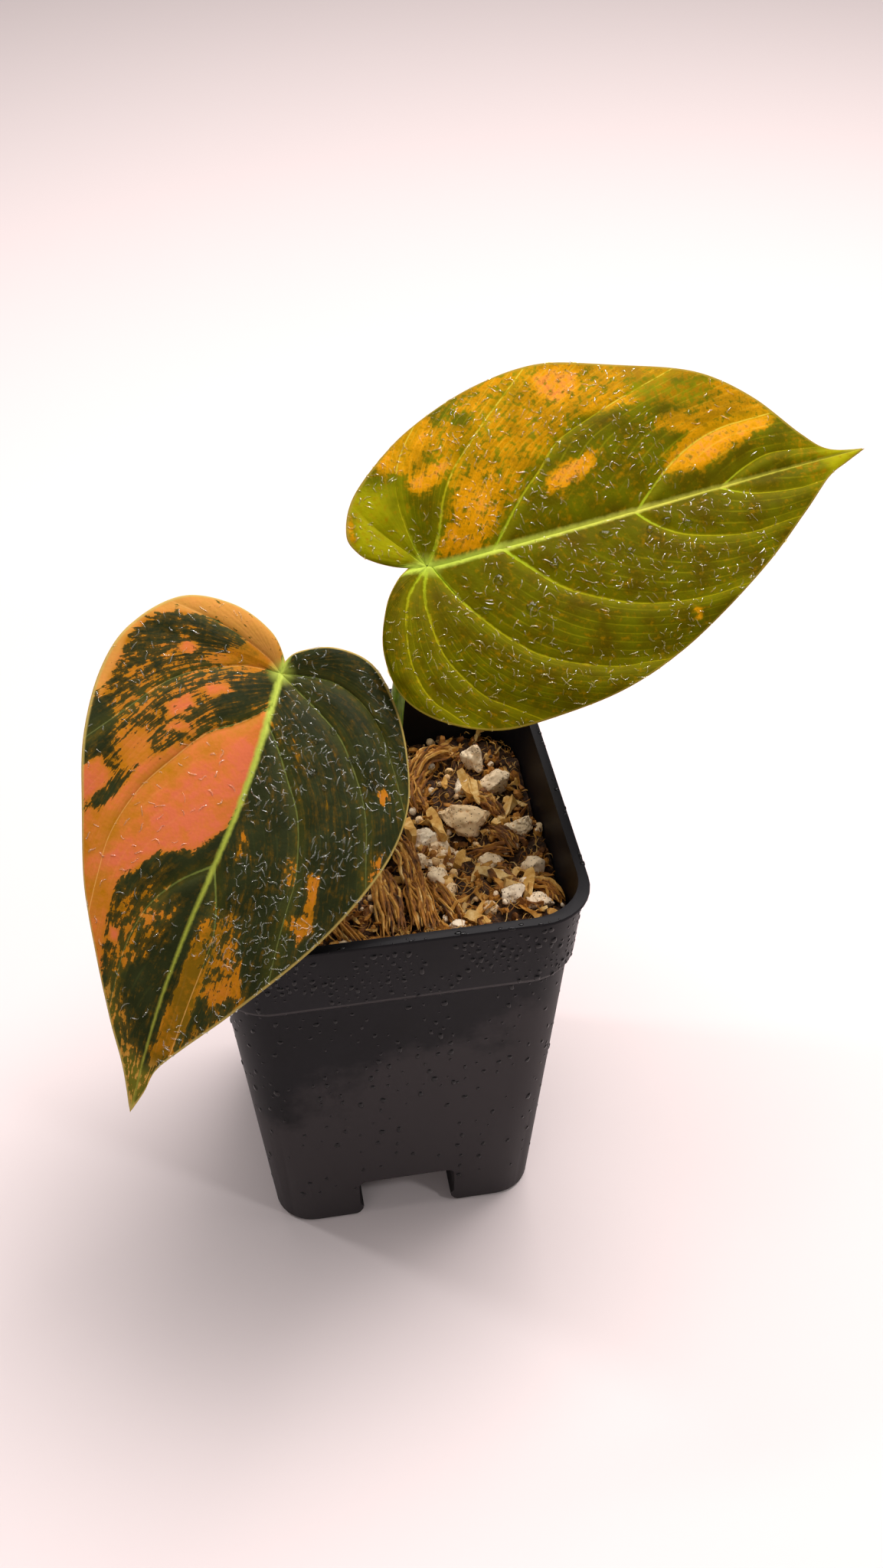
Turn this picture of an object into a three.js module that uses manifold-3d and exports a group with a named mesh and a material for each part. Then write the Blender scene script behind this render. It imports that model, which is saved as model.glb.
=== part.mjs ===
// Young Philodendron melanochrysum with two variegated leaves, growing in a tall square nursery pot.
// Millimetres, +Z up. Everything is laid out about the middle of the pot's base, and the finished
// group is moved so that the origin lies under the middle of the whole object, on the surface it stands on.
import * as THREE from 'three';
import { mergeVertices } from 'three/addons/utils/BufferGeometryUtils.js';
import Module from 'manifold-3d';

const wasm = await Module();
wasm.setup();

// Pot: injection-moulded polypropylene, 90 mm square at the rim.
const RIM_HALF = 45;
const POT_HEIGHT = 114;
const LIP_OVERHANG = 1.1;
const LIP_THICKNESS = 1.2;
const COLLAR_FOOT_Z = 93;
const COLLAR_FOOT_HALF = 42.4;
const STEP_HEIGHT = 2;
const BODY_TOP_HALF = 41.2;
const BASE_HALF = 33.9;
const RIM_CORNER = 13.5;
const COLLAR_FOOT_CORNER = 12.6;
const BODY_TOP_CORNER = 12;
const BASE_CORNER = 10.5;
const BASE_EDGE = 0.9;
const WALL = 1.2;
const CORNER_STEPS = 5;
const LIP_HALF = RIM_HALF - LIP_OVERHANG;
const LIP_CORNER = RIM_CORNER - LIP_OVERHANG;
const LIP_EDGE = LIP_THICKNESS / 4;

// Cross-shaped channel under the pot, which leaves four feet.
const CHANNEL_HALF = 12.6;
const CHANNEL_HEIGHT = 15.5;
const CHANNEL_CROWN_ROUND = 2;
const FOOT_ROUND = 4;
const CHANNEL_REACH = 60;
const FOOT_HOLE_OFFSET = 21;
const FOOT_HOLE_RADIUS = 3;
const MIDDLE_HOLE_RADIUS = 5;
const HOLE_CUT_DEPTH = 6;
const HOLE_SIDES = 16;

// Growing mix: coco husk fibre, bark chips, pumice and perlite.
const CLEARANCE = 0.3;
const MIX_LEVEL = 97.5;
const MIX_FRONT_RISE = 0.13;
const MIX_CELLS = 14;
const MIX_KEEP = 37;
const STEM_KEEP = 9;
const CHIPS = 22;
const FIBRES = 26;
const FIBRE_SIDES = 3;

// Stem and the hole that it stands in.
const STEM_RADIUS = 3.6;
const STEM_FOOT_Z = 66;
const STEM_TOP_Z = 112;
const STEM_SIDES = 12;
const STEM_HOLE_RADIUS = STEM_RADIUS + 0.5;
const STEM_HOLE_DEPTH = 80;

// Leaf blades.
const BLADE_THICKNESS = 0.8;
const FAN_SHARE = 0.5;
const MIDRIB_SPREAD = 2.4;
const VEIN_BEND = 0.25;
const BLADE_COLUMNS = 32;
const BLADE_ROWS = 10;
const VEIN_STEPS = 24;
const MIDRIB_SOFTNESS = 1.5;
const FUNNEL_DEPTH = 2;
const FUNNEL_REACH = 9;
const MIDRIB_DEPTH = 1.5;
const QUILT_HEIGHT = 1.1;
const QUILT_REACH = 5.5;
const MARGIN_WAVES = 4.5;
const MARGIN_WAVE_HEIGHT = 1.0;
const STALK_RADIUS = 1.9;
const STALK_SIDES = 10;

const COLOURS = {
  pot: 0x28272b,
  mix: 0x7a5433,
  stem: 0x6d8f2c,
  petiole: 0x7da63a,
  bladeLower: 0x8a5a2c,
  bladeUpper: 0x7d7a1c,
};

// Repeatable random numbers for the loose pieces of the mix.
let seed = 20261;
function random() {
  seed = (seed * 1103515245 + 12345) % 2147483648;
  return seed / 2147483648;
}

function between(low, high) {
  return low + (high - low) * random();
}

// Closed three.js geometry to solid and back.
function toSolid(geometry) {
  const bare = geometry.clone();
  bare.deleteAttribute('normal');
  bare.deleteAttribute('uv');
  const merged = mergeVertices(bare, 1e-4);
  const triVerts = new Uint32Array(merged.index.array);
  const vertProperties = new Float32Array(merged.attributes.position.array);
  return new wasm.Manifold(new wasm.Mesh({ numProp: 3, vertProperties, triVerts }));
}

function toGeometry(solid) {
  const mesh = solid.getMesh();
  const geometry = new THREE.BufferGeometry();
  geometry.setAttribute('position', new THREE.BufferAttribute(mesh.vertProperties, 3));
  geometry.setIndex(new THREE.BufferAttribute(mesh.triVerts, 1));
  return geometry;
}

function indexedGeometry(points, faces) {
  const geometry = new THREE.BufferGeometry();
  geometry.setFromPoints(points);
  geometry.setIndex(faces.flat());
  return geometry;
}

// Square rings with round corners, joined one above the other and capped at both ends.
function squareRing(z, half, radius) {
  const centre = half - radius;
  const signs = [[1, 1], [-1, 1], [-1, -1], [1, -1]];
  return signs.flatMap(([sx, sy], corner) => {
    const steps = Array.from({ length: CORNER_STEPS + 1 }, (_, step) => step / CORNER_STEPS);
    return steps.map((share) => {
      const angle = (corner + share) * Math.PI / 2;
      const x = sx * centre + radius * Math.cos(angle);
      return new THREE.Vector3(x, sy * centre + radius * Math.sin(angle), z);
    });
  });
}

function squareLoft(levels) {
  const rings = levels.map(([z, half, radius]) => squareRing(z, half, radius));
  const count = rings[0].length;
  const points = rings.flat();
  const faces = [];
  for (let level = 0; level < rings.length - 1; level++) {
    for (let k = 0; k < count; k++) {
      const a = level * count + k;
      const b = level * count + (k + 1) % count;
      faces.push([a, b, b + count], [a, b + count, a + count]);
    }
  }
  const bottom = points.length;
  const top = bottom + 1;
  const last = (rings.length - 1) * count;
  points.push(new THREE.Vector3(0, 0, levels[0][0]));
  points.push(new THREE.Vector3(0, 0, levels[levels.length - 1][0]));
  for (let k = 0; k < count; k++) {
    const next = (k + 1) % count;
    faces.push([bottom, next, k], [top, last + k, last + next]);
  }
  return toSolid(indexedGeometry(points, faces));
}

// Half width of the pot's body at a height below the step.
function bodyHalf(z) {
  const share = z / (COLLAR_FOOT_Z - STEP_HEIGHT);
  return BASE_HALF + (BODY_TOP_HALF - BASE_HALF) * share;
}

// Inside of the pot, held back from the outer face by the wall and any clearance.
function potInside(inset) {
  return squareLoft([
    [inset, bodyHalf(inset) - inset, BASE_CORNER - inset],
    [COLLAR_FOOT_Z - STEP_HEIGHT, BODY_TOP_HALF - inset, BODY_TOP_CORNER - inset],
    [COLLAR_FOOT_Z, COLLAR_FOOT_HALF - inset, COLLAR_FOOT_CORNER - inset],
    [POT_HEIGHT + 1, LIP_HALF - inset, LIP_CORNER - inset],
  ]);
}

// One arm of the channel under the pot: the space itself, or with an offset the wall around it.
function channelArm(offset, alongX) {
  const round = CHANNEL_CROWN_ROUND + offset;
  const crownX = CHANNEL_HALF - CHANNEL_CROWN_ROUND;
  const crownZ = CHANNEL_HEIGHT - CHANNEL_CROWN_ROUND;
  const flareX = CHANNEL_HALF + FOOT_ROUND;
  const flare = FOOT_ROUND - offset;
  const shape = new THREE.Shape();
  shape.moveTo(-flareX, -FOOT_ROUND);
  shape.lineTo(flareX, -FOOT_ROUND);
  shape.lineTo(flareX, offset);
  shape.absarc(flareX, FOOT_ROUND, flare, -Math.PI / 2, -Math.PI, true);
  shape.absarc(crownX, crownZ, round, 0, Math.PI / 2, false);
  shape.absarc(-crownX, crownZ, round, Math.PI / 2, Math.PI, false);
  shape.absarc(-flareX, FOOT_ROUND, flare, 0, -Math.PI / 2, true);
  const depth = 2 * CHANNEL_REACH;
  const arm = new THREE.ExtrudeGeometry(shape, { depth, bevelEnabled: false, curveSegments: 5 });
  arm.translate(0, 0, -CHANNEL_REACH);
  arm.rotateX(Math.PI / 2);
  if (alongX) arm.rotateZ(Math.PI / 2);
  return toSolid(arm);
}

function drainHole(x, y, radius, z) {
  const hole = new THREE.CylinderGeometry(radius, radius, HOLE_CUT_DEPTH, HOLE_SIDES);
  hole.rotateX(Math.PI / 2);
  hole.translate(x, y, z);
  return toSolid(hole);
}

function makePot() {
  const lipFoot = POT_HEIGHT - LIP_THICKNESS;
  let pot = squareLoft([
    [0, BASE_HALF - BASE_EDGE, BASE_CORNER - BASE_EDGE],
    [BASE_EDGE / 3, BASE_HALF - BASE_EDGE / 3, BASE_CORNER - BASE_EDGE / 3],
    [BASE_EDGE, bodyHalf(BASE_EDGE), BASE_CORNER],
    [COLLAR_FOOT_Z - STEP_HEIGHT, BODY_TOP_HALF, BODY_TOP_CORNER],
    [COLLAR_FOOT_Z, COLLAR_FOOT_HALF, COLLAR_FOOT_CORNER],
    [lipFoot, LIP_HALF, LIP_CORNER],
    [lipFoot + LIP_EDGE, RIM_HALF, RIM_CORNER],
    [POT_HEIGHT - LIP_EDGE, RIM_HALF, RIM_CORNER],
    [POT_HEIGHT, RIM_HALF - LIP_EDGE, RIM_CORNER - LIP_EDGE],
  ]);
  let inside = potInside(WALL);
  for (const alongX of [false, true]) {
    pot = pot.subtract(channelArm(0, alongX));
    inside = inside.subtract(channelArm(WALL, alongX));
  }
  pot = pot.subtract(inside);
  pot = pot.subtract(drainHole(0, 0, MIDDLE_HOLE_RADIUS, CHANNEL_HEIGHT));
  for (const [sx, sy] of [[1, 1], [-1, 1], [-1, -1], [1, -1]]) {
    pot = pot.subtract(drainHole(sx * FOOT_HOLE_OFFSET, sy * FOOT_HOLE_OFFSET, FOOT_HOLE_RADIUS, 0));
  }
  return pot;
}

// Height of the mix's surface, heaped a little towards the front wall.
function mixHeight(x, y) {
  const front = Math.max(0, -y) * MIX_FRONT_RISE;
  const swell = 1.3 * Math.sin(x / 7.1 + 1.1) * Math.cos(y / 8.3) + 0.9 * Math.sin((x + y) / 4.7);
  const crumb = 0.7 * Math.sin(x / 2.3 + 2.0) * Math.sin(y / 2.1 + 0.6);
  return MIX_LEVEL + front + swell + crumb;
}

function mixBlock() {
  const side = 2 * RIM_HALF;
  const block = new THREE.BoxGeometry(side, side, 2, MIX_CELLS, MIX_CELLS, 1);
  const spots = block.attributes.position;
  for (let k = 0; k < spots.count; k++) {
    const top = mixHeight(spots.getX(k), spots.getY(k));
    spots.setZ(k, spots.getZ(k) > 0 ? top : 0);
  }
  return toSolid(block);
}

// Pumice and perlite: blunt lumps, [x, y, half length, half width, half height, turn in degrees].
const LUMPS = [
  [23, 9, 7.2, 4.6, 3.6, -20], [29, 29, 3.4, 3.6, 4.2, 10], [33, 21, 4.4, 3.4, 3.0, 15],
  [25, 20, 3.0, 2.8, 2.4, 60], [36, 3, 3.7, 3.4, 3.1, 40], [11.5, 1.5, 3.6, 3.0, 2.6, 15],
  [16.5, 0.5, 2.1, 2.0, 1.9, 70], [27, -6, 2.9, 2.6, 2.6, 25], [10, -6, 2.1, 2.0, 2.0, 50],
  [13, -12, 2.3, 2.9, 2.3, 20], [15, -17, 1.9, 1.4, 1.4, 75], [36.5, -12, 3.3, 3.1, 3.0, 30],
  [29, -24, 3.0, 2.4, 2.4, 35], [35, -26, 3.4, 2.6, 2.2, 10], [33, -19, 1.5, 1.5, 1.5, 0],
  [23, -26, 1.9, 1.8, 1.9, 5], [15, -30, 2.3, 1.5, 1.5, 10], [28, -14, 1.8, 1.8, 1.7, 80],
  [-12, -33, 2.0, 1.4, 1.3, 20], [-22, 27, 3.6, 3.0, 2.8, 30], [-31, 10, 3.2, 2.6, 2.5, 75],
  [-8, 33, 2.8, 2.4, 2.3, 15], [-28, -14, 3.0, 2.5, 2.4, 55], [8, 27, 2.4, 2.2, 2.0, 35],
  [-18, -22, 2.2, 1.9, 1.8, 65], [-34, 31, 2.5, 2.2, 2.1, 5], [-24, -31, 2.6, 2.2, 2.0, 45],
];

function lump([x, y, length, width, height, turn]) {
  const stone = new THREE.IcosahedronGeometry(1, length > 3.1 ? 1 : 0);
  const spots = stone.attributes.position;
  const spot = new THREE.Vector3();
  for (let k = 0; k < spots.count; k++) {
    spot.fromBufferAttribute(spots, k);
    const bulge = 0.12 * Math.sin(5 * spot.x + x) * Math.sin(4 * spot.y + y);
    const facet = 1 + bulge - 0.1 * Math.cos(6 * spot.z + x * y);
    spots.setXYZ(k, spot.x * length * facet, spot.y * width * facet, spot.z * height * facet);
  }
  stone.rotateZ(THREE.MathUtils.degToRad(turn));
  stone.translate(x, y, mixHeight(x, y) + 0.25 * height);
  return toSolid(stone);
}

// Bark and husk chips: thin five-sided plates, half sunk on a slant.
function chip(x, y) {
  const length = between(4, 7.5);
  const width = between(1.6, 3);
  const shape = new THREE.Shape();
  shape.moveTo(-length, -width * 0.5);
  shape.lineTo(length * between(0.3, 0.7), -width);
  shape.lineTo(length, between(-0.3, 0.3) * width);
  shape.lineTo(length * between(0.2, 0.6), width);
  shape.lineTo(-length * between(0.7, 1), width * 0.6);
  const plate = new THREE.ExtrudeGeometry(shape, { depth: between(1.0, 1.5), bevelEnabled: false });
  plate.rotateX(between(-0.6, 0.6));
  plate.rotateY(between(0.25, 0.8));
  plate.rotateZ(between(0, 2 * Math.PI));
  plate.translate(x, y, mixHeight(x, y) + 0.1);
  return toSolid(plate);
}

// Tufts of coco husk fibre: a stout root in the mix and a tapered, bent tip.
function fibre(x, y) {
  const reach = between(5, 10);
  const heading = between(0, 2 * Math.PI);
  const rise = between(1.5, 3.5);
  const along = new THREE.Vector3(Math.cos(heading), Math.sin(heading), 0).multiplyScalar(reach);
  const start = new THREE.Vector3(x, y, mixHeight(x, y) - 2.5);
  const path = new THREE.QuadraticBezierCurve3(
    start,
    start.clone().addScaledVector(along, 0.4).add(new THREE.Vector3(0, 0, rise + 3)),
    start.clone().add(along).add(new THREE.Vector3(0, 0, rise)),
  );
  const oval = new THREE.EllipseCurve(0, 0, 0.9, 0.7, 0, 2 * Math.PI);
  const section = new THREE.Shape(oval.getPoints(FIBRE_SIDES).slice(0, FIBRE_SIDES));
  return toSolid(new THREE.ExtrudeGeometry(section, { steps: 3, extrudePath: path }));
}

function scattered(count, make) {
  const made = [];
  while (made.length < count) {
    const x = between(-MIX_KEEP, MIX_KEEP);
    const y = between(-MIX_KEEP, MIX_KEEP);
    if (Math.hypot(x, y) > STEM_KEEP) made.push(make(x, y));
  }
  return made;
}

function largestBody(solid) {
  return solid.decompose().sort((a, b) => b.volume() - a.volume())[0];
}

function makeMix() {
  let mix = mixBlock();
  for (const piece of [...LUMPS.map(lump), ...scattered(CHIPS, chip), ...scattered(FIBRES, fibre)]) {
    mix = mix.add(piece);
  }
  mix = mix.intersect(potInside(WALL + CLEARANCE));
  for (const alongX of [false, true]) mix = mix.subtract(channelArm(WALL + CLEARANCE, alongX));
  const hole = new THREE.CylinderGeometry(STEM_HOLE_RADIUS, STEM_HOLE_RADIUS, STEM_HOLE_DEPTH, STEM_SIDES);
  hole.rotateX(Math.PI / 2);
  hole.translate(0, 0, STEM_FOOT_Z - CLEARANCE + STEM_HOLE_DEPTH / 2);
  return largestBody(mix.subtract(toSolid(hole)));
}

// Stem: a short jointed vine with a ring where each leaf stalk leaves it and a blunt bud on top.
function makeStem() {
  const profile = [
    [0, STEM_FOOT_Z], [3.0, STEM_FOOT_Z + 0.6], [3.2, 86], [3.2, 97.2], [3.6, 98], [3.2, 98.9],
    [3.0, 103.2], [3.5, 104.2], [2.9, 105.2], [2.5, 107.5], [1.5, 110.2], [0, STEM_TOP_Z],
  ];
  const stem = new THREE.LatheGeometry(profile.map(([r, z]) => new THREE.Vector2(r, z)), STEM_SIDES);
  stem.rotateX(Math.PI / 2);
  return toSolid(stem);
}

// The two blades. hub is where the stalk meets the blade and tip is the drawn-out point, roll turns the
// blade about its midrib. Margins run from the notch behind the hub round a lobe and end at the tip, and
// veins run from the midrib outwards, both in millimetres along and across the midrib.
const LOWER_BLADE = {
  hub: [-19.6, 3.5, 155],
  tip: [-63.6, -64.5, 93],
  roll: 20,
  bow: 6,
  crease: 0.16,
  curl: 0.0038,
  margins: [
    [
      [-3, 0], [-6, 2.5], [-9, 10], [-8, 19], [-1, 26.5], [9, 32.5], [20.5, 36.5], [33, 36], [46.5, 31.5],
      [60, 24.5], [75, 14.5], [86, 6.3], [92, 2.4], [97, 1.5],
    ],
    [
      [-3, 0], [-8, -5], [-11, -15], [-9, -26.5], [1, -35], [13, -37.7], [27, -36], [42, -31.2], [58, -25],
      [72, -17.6], [84, -10.5], [93, -4.6],
    ],
  ],
  veins: [
    [[0, 0], [-1, 6], [-1.3, 12.5], [1, 19], [6, 25], [13.5, 30]],
    [[0, 0], [6, 10], [10.5, 16.5], [16.5, 21.5], [23, 26], [30.5, 29.5], [38, 31]],
    [[12, 0], [17, 4], [23, 8], [29.5, 12.5], [36.5, 15.5], [45.5, 18], [54.5, 18]],
    [[46, 0], [56, 4.5], [64, 6], [80, 5]],
    [[0, 0], [-2, -3], [-4, -8.5], [-6, -16.5], [-6.5, -22.5]],
    [[0, 0], [1, -7], [3.5, -13], [8, -20.5], [14, -26], [20, -29]],
    [[8, 0], [14, -5.5], [19, -12], [27, -17], [35, -21], [44, -23], [52, -23], [61, -21]],
    [[46, 0], [52, -6], [59.5, -10], [69.5, -11.5], [77.5, -11]],
  ],
};

const UPPER_BLADE = {
  hub: [16.2, 17.7, 170],
  tip: [127.4, 41.5, 173.4],
  roll: -35,
  bow: 3,
  crease: 0.14,
  curl: 0.0034,
  margins: [
    [
      [-4, 0.8], [-8, 2.2], [-12, 3.4], [-15, 6], [-16.2, 11], [-12, 19], [-2, 27], [9, 33], [23, 38],
      [38, 39.2], [53, 36.6], [67, 32], [80, 26], [90, 18], [98, 7], [104, 1.7],
    ],
    [
      [-4, 0.8], [-8, -2], [-13, -8], [-17, -18], [-16, -29], [-9, -37], [3, -42], [18, -42.5], [33, -41.5],
      [48, -37], [63, -30], [78, -21.5], [91, -12.5], [101, -5.2], [107.5, -2.4],
    ],
  ],
  veins: [
    [[0, 0], [-3.5, 4], [-8, 9], [-11, 13.5], [-12, 17]],
    [[0, 0], [-3, 5], [-3, 13], [-2, 19.5], [0.5, 24.5], [6, 29], [14, 34]],
    [[0, 0], [4.5, 6.5], [7.5, 13.5], [12, 20], [19, 26], [24, 30], [31.5, 35]],
    [[15, 0], [25, 10], [32, 15.5], [38, 20.5], [48.5, 24], [60, 27], [67.5, 27.5]],
    [[51, 0], [55.5, 3.5], [63, 8.5], [71.5, 12], [80.5, 13.5], [88, 13]],
    [[73, 0], [80.5, 3], [88, 4.5], [96, 3.5]],
    [[0, 0], [-7, -6.5], [-10.5, -14.5], [-12, -23.5], [-10, -32], [-3.5, -38.5]],
    [[0, 0], [-3.5, -7.5], [-4.5, -14.5], [-4.2, -22], [-1.5, -28.5], [3, -34.5], [10, -38.5]],
    [[1, 0], [4, -10], [7.5, -16.5], [12, -22.5], [17, -27.5], [26, -32.5], [36, -36], [47, -36.5]],
    [[17, 0], [26, -12], [32.5, -17], [42, -22], [53, -25], [65, -26], [74.5, -24]],
    [[50, 0], [54, -5], [59.5, -9], [68, -12], [76, -13.5], [86, -13]],
    [[72, 0], [80.5, -4], [92, -6], [99, -5.5]],
  ],
};

function plainCurve(points) {
  return new THREE.SplineCurve(points.map(([u, v]) => new THREE.Vector2(u, v)));
}

// Axes of a blade: along the midrib, across it, and out of its upper face.
function bladeFrame(blade) {
  const hub = new THREE.Vector3(...blade.hub);
  const along = new THREE.Vector3(...blade.tip).sub(hub);
  const length = along.length();
  along.normalize();
  const level = new THREE.Vector3(0, 0, 1).cross(along).normalize();
  const upright = along.clone().cross(level);
  const roll = THREE.MathUtils.degToRad(blade.roll);
  const out = upright.multiplyScalar(Math.cos(roll)).addScaledVector(level, Math.sin(roll));
  return { hub, along, across: out.clone().cross(along), out, length };
}

function distanceToLine(spot, line) {
  let nearest = Infinity;
  const closest = new THREE.Vector2();
  for (let k = 0; k < line.length - 1; k++) {
    const piece = line[k + 1].clone().sub(line[k]);
    const share = THREE.MathUtils.clamp(spot.clone().sub(line[k]).dot(piece) / piece.lengthSq(), 0, 1);
    closest.copy(line[k]).addScaledVector(piece, share);
    nearest = Math.min(nearest, closest.distanceTo(spot));
  }
  return nearest;
}

// Height of a blade over the plane of its midrib, at a flat spot that lies a share s round the margin
// and a share t of the way out to it.
function bladeHeight(blade, lines, length, flat, s, t) {
  const share = flat.x / length;
  const arch = blade.bow * 4 * share * (1 - share);
  const fold = blade.crease * (Math.hypot(flat.y, MIDRIB_SOFTNESS) - MIDRIB_SOFTNESS);
  const funnel = FUNNEL_DEPTH * (1 - Math.exp(-flat.lengthSq() / FUNNEL_REACH ** 2));
  const nearVein = Math.min(...lines.map((line) => distanceToLine(flat, line)), QUILT_REACH);
  const quilt = QUILT_HEIGHT * (1 - (1 - nearVein / QUILT_REACH) ** 2) * (1 - t ** 4);
  const ripple = Math.sin(Math.PI * s) * Math.sin(2 * Math.PI * MARGIN_WAVES * s);
  return arch + fold - blade.curl * flat.y ** 2 + funnel + quilt + MARGIN_WAVE_HEIGHT * t ** 3 * ripple;
}

// The line that the blade's grid follows at a share s round one margin: from the hub, and then from
// further and further along the midrib, out to the margin, swept forward as a side vein is.
function sideLine(margin, side, length, s) {
  const edge = margin.getPointAt(s);
  const reach = Math.max(0, (s - FAN_SHARE) / (1 - FAN_SHARE)) ** MIDRIB_SPREAD;
  const start = new THREE.Vector2(length * reach, 0);
  const chord = edge.clone().sub(start);
  const bend = VEIN_BEND * THREE.MathUtils.smoothstep(s, 0.1, 0.6) * (side === 0 ? 1 : -1);
  const control = start.clone().addScaledVector(chord, 0.5);
  control.x -= bend * chord.y;
  control.y += bend * chord.x;
  return new THREE.QuadraticBezierCurve(start, control, edge);
}

// Both faces of a thin shell from its middle surface, and the rim between them.
function closedShell(spots, faces, rim, depthBelow) {
  const middleSurface = indexedGeometry(spots, faces);
  middleSurface.computeVertexNormals();
  const normals = middleSurface.attributes.normal;
  const push = (k, way) => new THREE.Vector3().fromBufferAttribute(normals, k).multiplyScalar(way);
  const upper = spots.map((spot, k) => spot.clone().add(push(k, BLADE_THICKNESS / 2)));
  const lower = spots.map((spot, k) => spot.clone().add(push(k, -BLADE_THICKNESS / 2 - depthBelow[k])));
  const under = spots.length;
  const closed = faces.flatMap(([a, b, c]) => [[a, b, c], [c + under, b + under, a + under]]);
  for (const [a, b] of rim) closed.push([a, a + under, b + under], [a, b + under, b]);
  return toSolid(indexedGeometry([...upper, ...lower], closed));
}

function makeBlade(blade) {
  const { hub, along, across, out, length } = bladeFrame(blade);
  const midrib = [new THREE.Vector2(0, 0), new THREE.Vector2(length, 0)];
  const lines = [midrib, ...blade.veins.map((vein) => plainCurve(vein).getPoints(VEIN_STEPS))];
  const spots = [];
  const ribs = [];
  const seen = new Map();

  function spotIndex(flat, s, t) {
    const key = `${Math.round(flat.x * 1000)} ${Math.round(flat.y * 1000)}`;
    if (!seen.has(key)) {
      const spot = hub.clone().addScaledVector(along, flat.x).addScaledVector(across, flat.y);
      seen.set(key, spots.length);
      spots.push(spot.addScaledVector(out, bladeHeight(blade, lines, length, flat, s, t)));
      ribs.push(t === 0 ? MIDRIB_DEPTH * (1 - flat.x / length) : 0);
    }
    return seen.get(key);
  }

  const faces = [];
  const rim = [];
  blade.margins.forEach((points, side) => {
    const margin = plainCurve([...points, [length, 0]]);
    const grid = [];
    for (let i = 0; i <= BLADE_COLUMNS; i++) {
      const s = i / BLADE_COLUMNS;
      const line = sideLine(margin, side, length, s);
      const shares = Array.from({ length: BLADE_ROWS + 1 }, (_, j) => j / BLADE_ROWS);
      grid.push(shares.map((t) => spotIndex(line.getPoint(t), s, t)));
    }
    for (let i = 0; i < BLADE_COLUMNS; i++) {
      for (let j = 0; j < BLADE_ROWS; j++) {
        const [a, b, c, d] = [grid[i][j], grid[i][j + 1], grid[i + 1][j + 1], grid[i + 1][j]];
        const pair = side === 0 ? [[a, c, b], [a, d, c]] : [[a, b, c], [a, c, d]];
        faces.push(...pair.filter(([p, q, r]) => p !== q && q !== r && r !== p));
      }
      const [p, q] = [grid[i][BLADE_ROWS], grid[i + 1][BLADE_ROWS]];
      rim.push(side === 0 ? [q, p] : [p, q]);
    }
  });
  return closedShell(spots, faces, rim, ribs);
}

// Leaf stalks: round tubes from the stem's rings up to the underside of each hub.
const STALK_STEPS = 18;
const STALKS = {
  lower: [
    [-4.0, 0.7, 103.2], [-6.4, 1.2, 103.9], [-9, 2.3, 108], [-14.5, 6, 125], [-18.5, 9.3, 140],
    [-19.4, 8.6, 149.2], [-19.55, 5.0, 153.3],
  ],
  upper: [
    [1.8, 2.3, 107.4], [3.7, 4.8, 108.1], [5.0, 7.2, 112.5], [6.3, 9.4, 124], [7.5, 11, 136],
    [10.6, 15, 150], [14.2, 20.5, 160.5], [15.5, 21.6, 164.2], [16.0, 18.95, 168.2],
  ],
};

function makeStalk(points) {
  const path = new THREE.CatmullRomCurve3(points.map((spot) => new THREE.Vector3(...spot)));
  const round = new THREE.EllipseCurve(0, 0, STALK_RADIUS, STALK_RADIUS, 0, 2 * Math.PI);
  const section = new THREE.Shape(round.getPoints(STALK_SIDES).slice(0, STALK_SIDES));
  return toSolid(new THREE.ExtrudeGeometry(section, { steps: STALK_STEPS, extrudePath: path }));
}

function piece(name, solid, color, roughness) {
  const material = new THREE.MeshStandardMaterial({ color, roughness, metalness: 0 });
  const mesh = new THREE.Mesh(toGeometry(solid), material);
  mesh.name = name;
  return mesh;
}

const plant = new THREE.Group();
plant.add(piece('pot', makePot(), COLOURS.pot, 0.45));
plant.add(piece('growing_mix', makeMix(), COLOURS.mix, 0.95));
plant.add(piece('stem', makeStem(), COLOURS.stem, 0.5));
plant.add(piece('petiole_lower', makeStalk(STALKS.lower), COLOURS.petiole, 0.45));
plant.add(piece('petiole_upper', makeStalk(STALKS.upper), COLOURS.petiole, 0.45));
plant.add(piece('blade_lower', makeBlade(LOWER_BLADE), COLOURS.bladeLower, 0.4));
plant.add(piece('blade_upper', makeBlade(UPPER_BLADE), COLOURS.bladeUpper, 0.4));

// The origin goes under the middle of the object's bounding box.
const extent = new THREE.Box3().setFromObject(plant);
const middle = extent.getCenter(new THREE.Vector3());
plant.position.set(-middle.x, -middle.y, -extent.min.z);

export default plant;
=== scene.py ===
# Potted Philodendron melanochrysum: a young plant with two variegated leaves, just misted, in a tall square
# nursery pot of coco husk, bark and pumice. Sizes are in millimetres about the middle of the pot's foot,
# and each piece is laid in place in the row frame.
import math
import random

import bpy
import numpy as np
from mathutils import Matrix, Quaternion, Vector, noise
from mathutils.bvhtree import BVHTree


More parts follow.
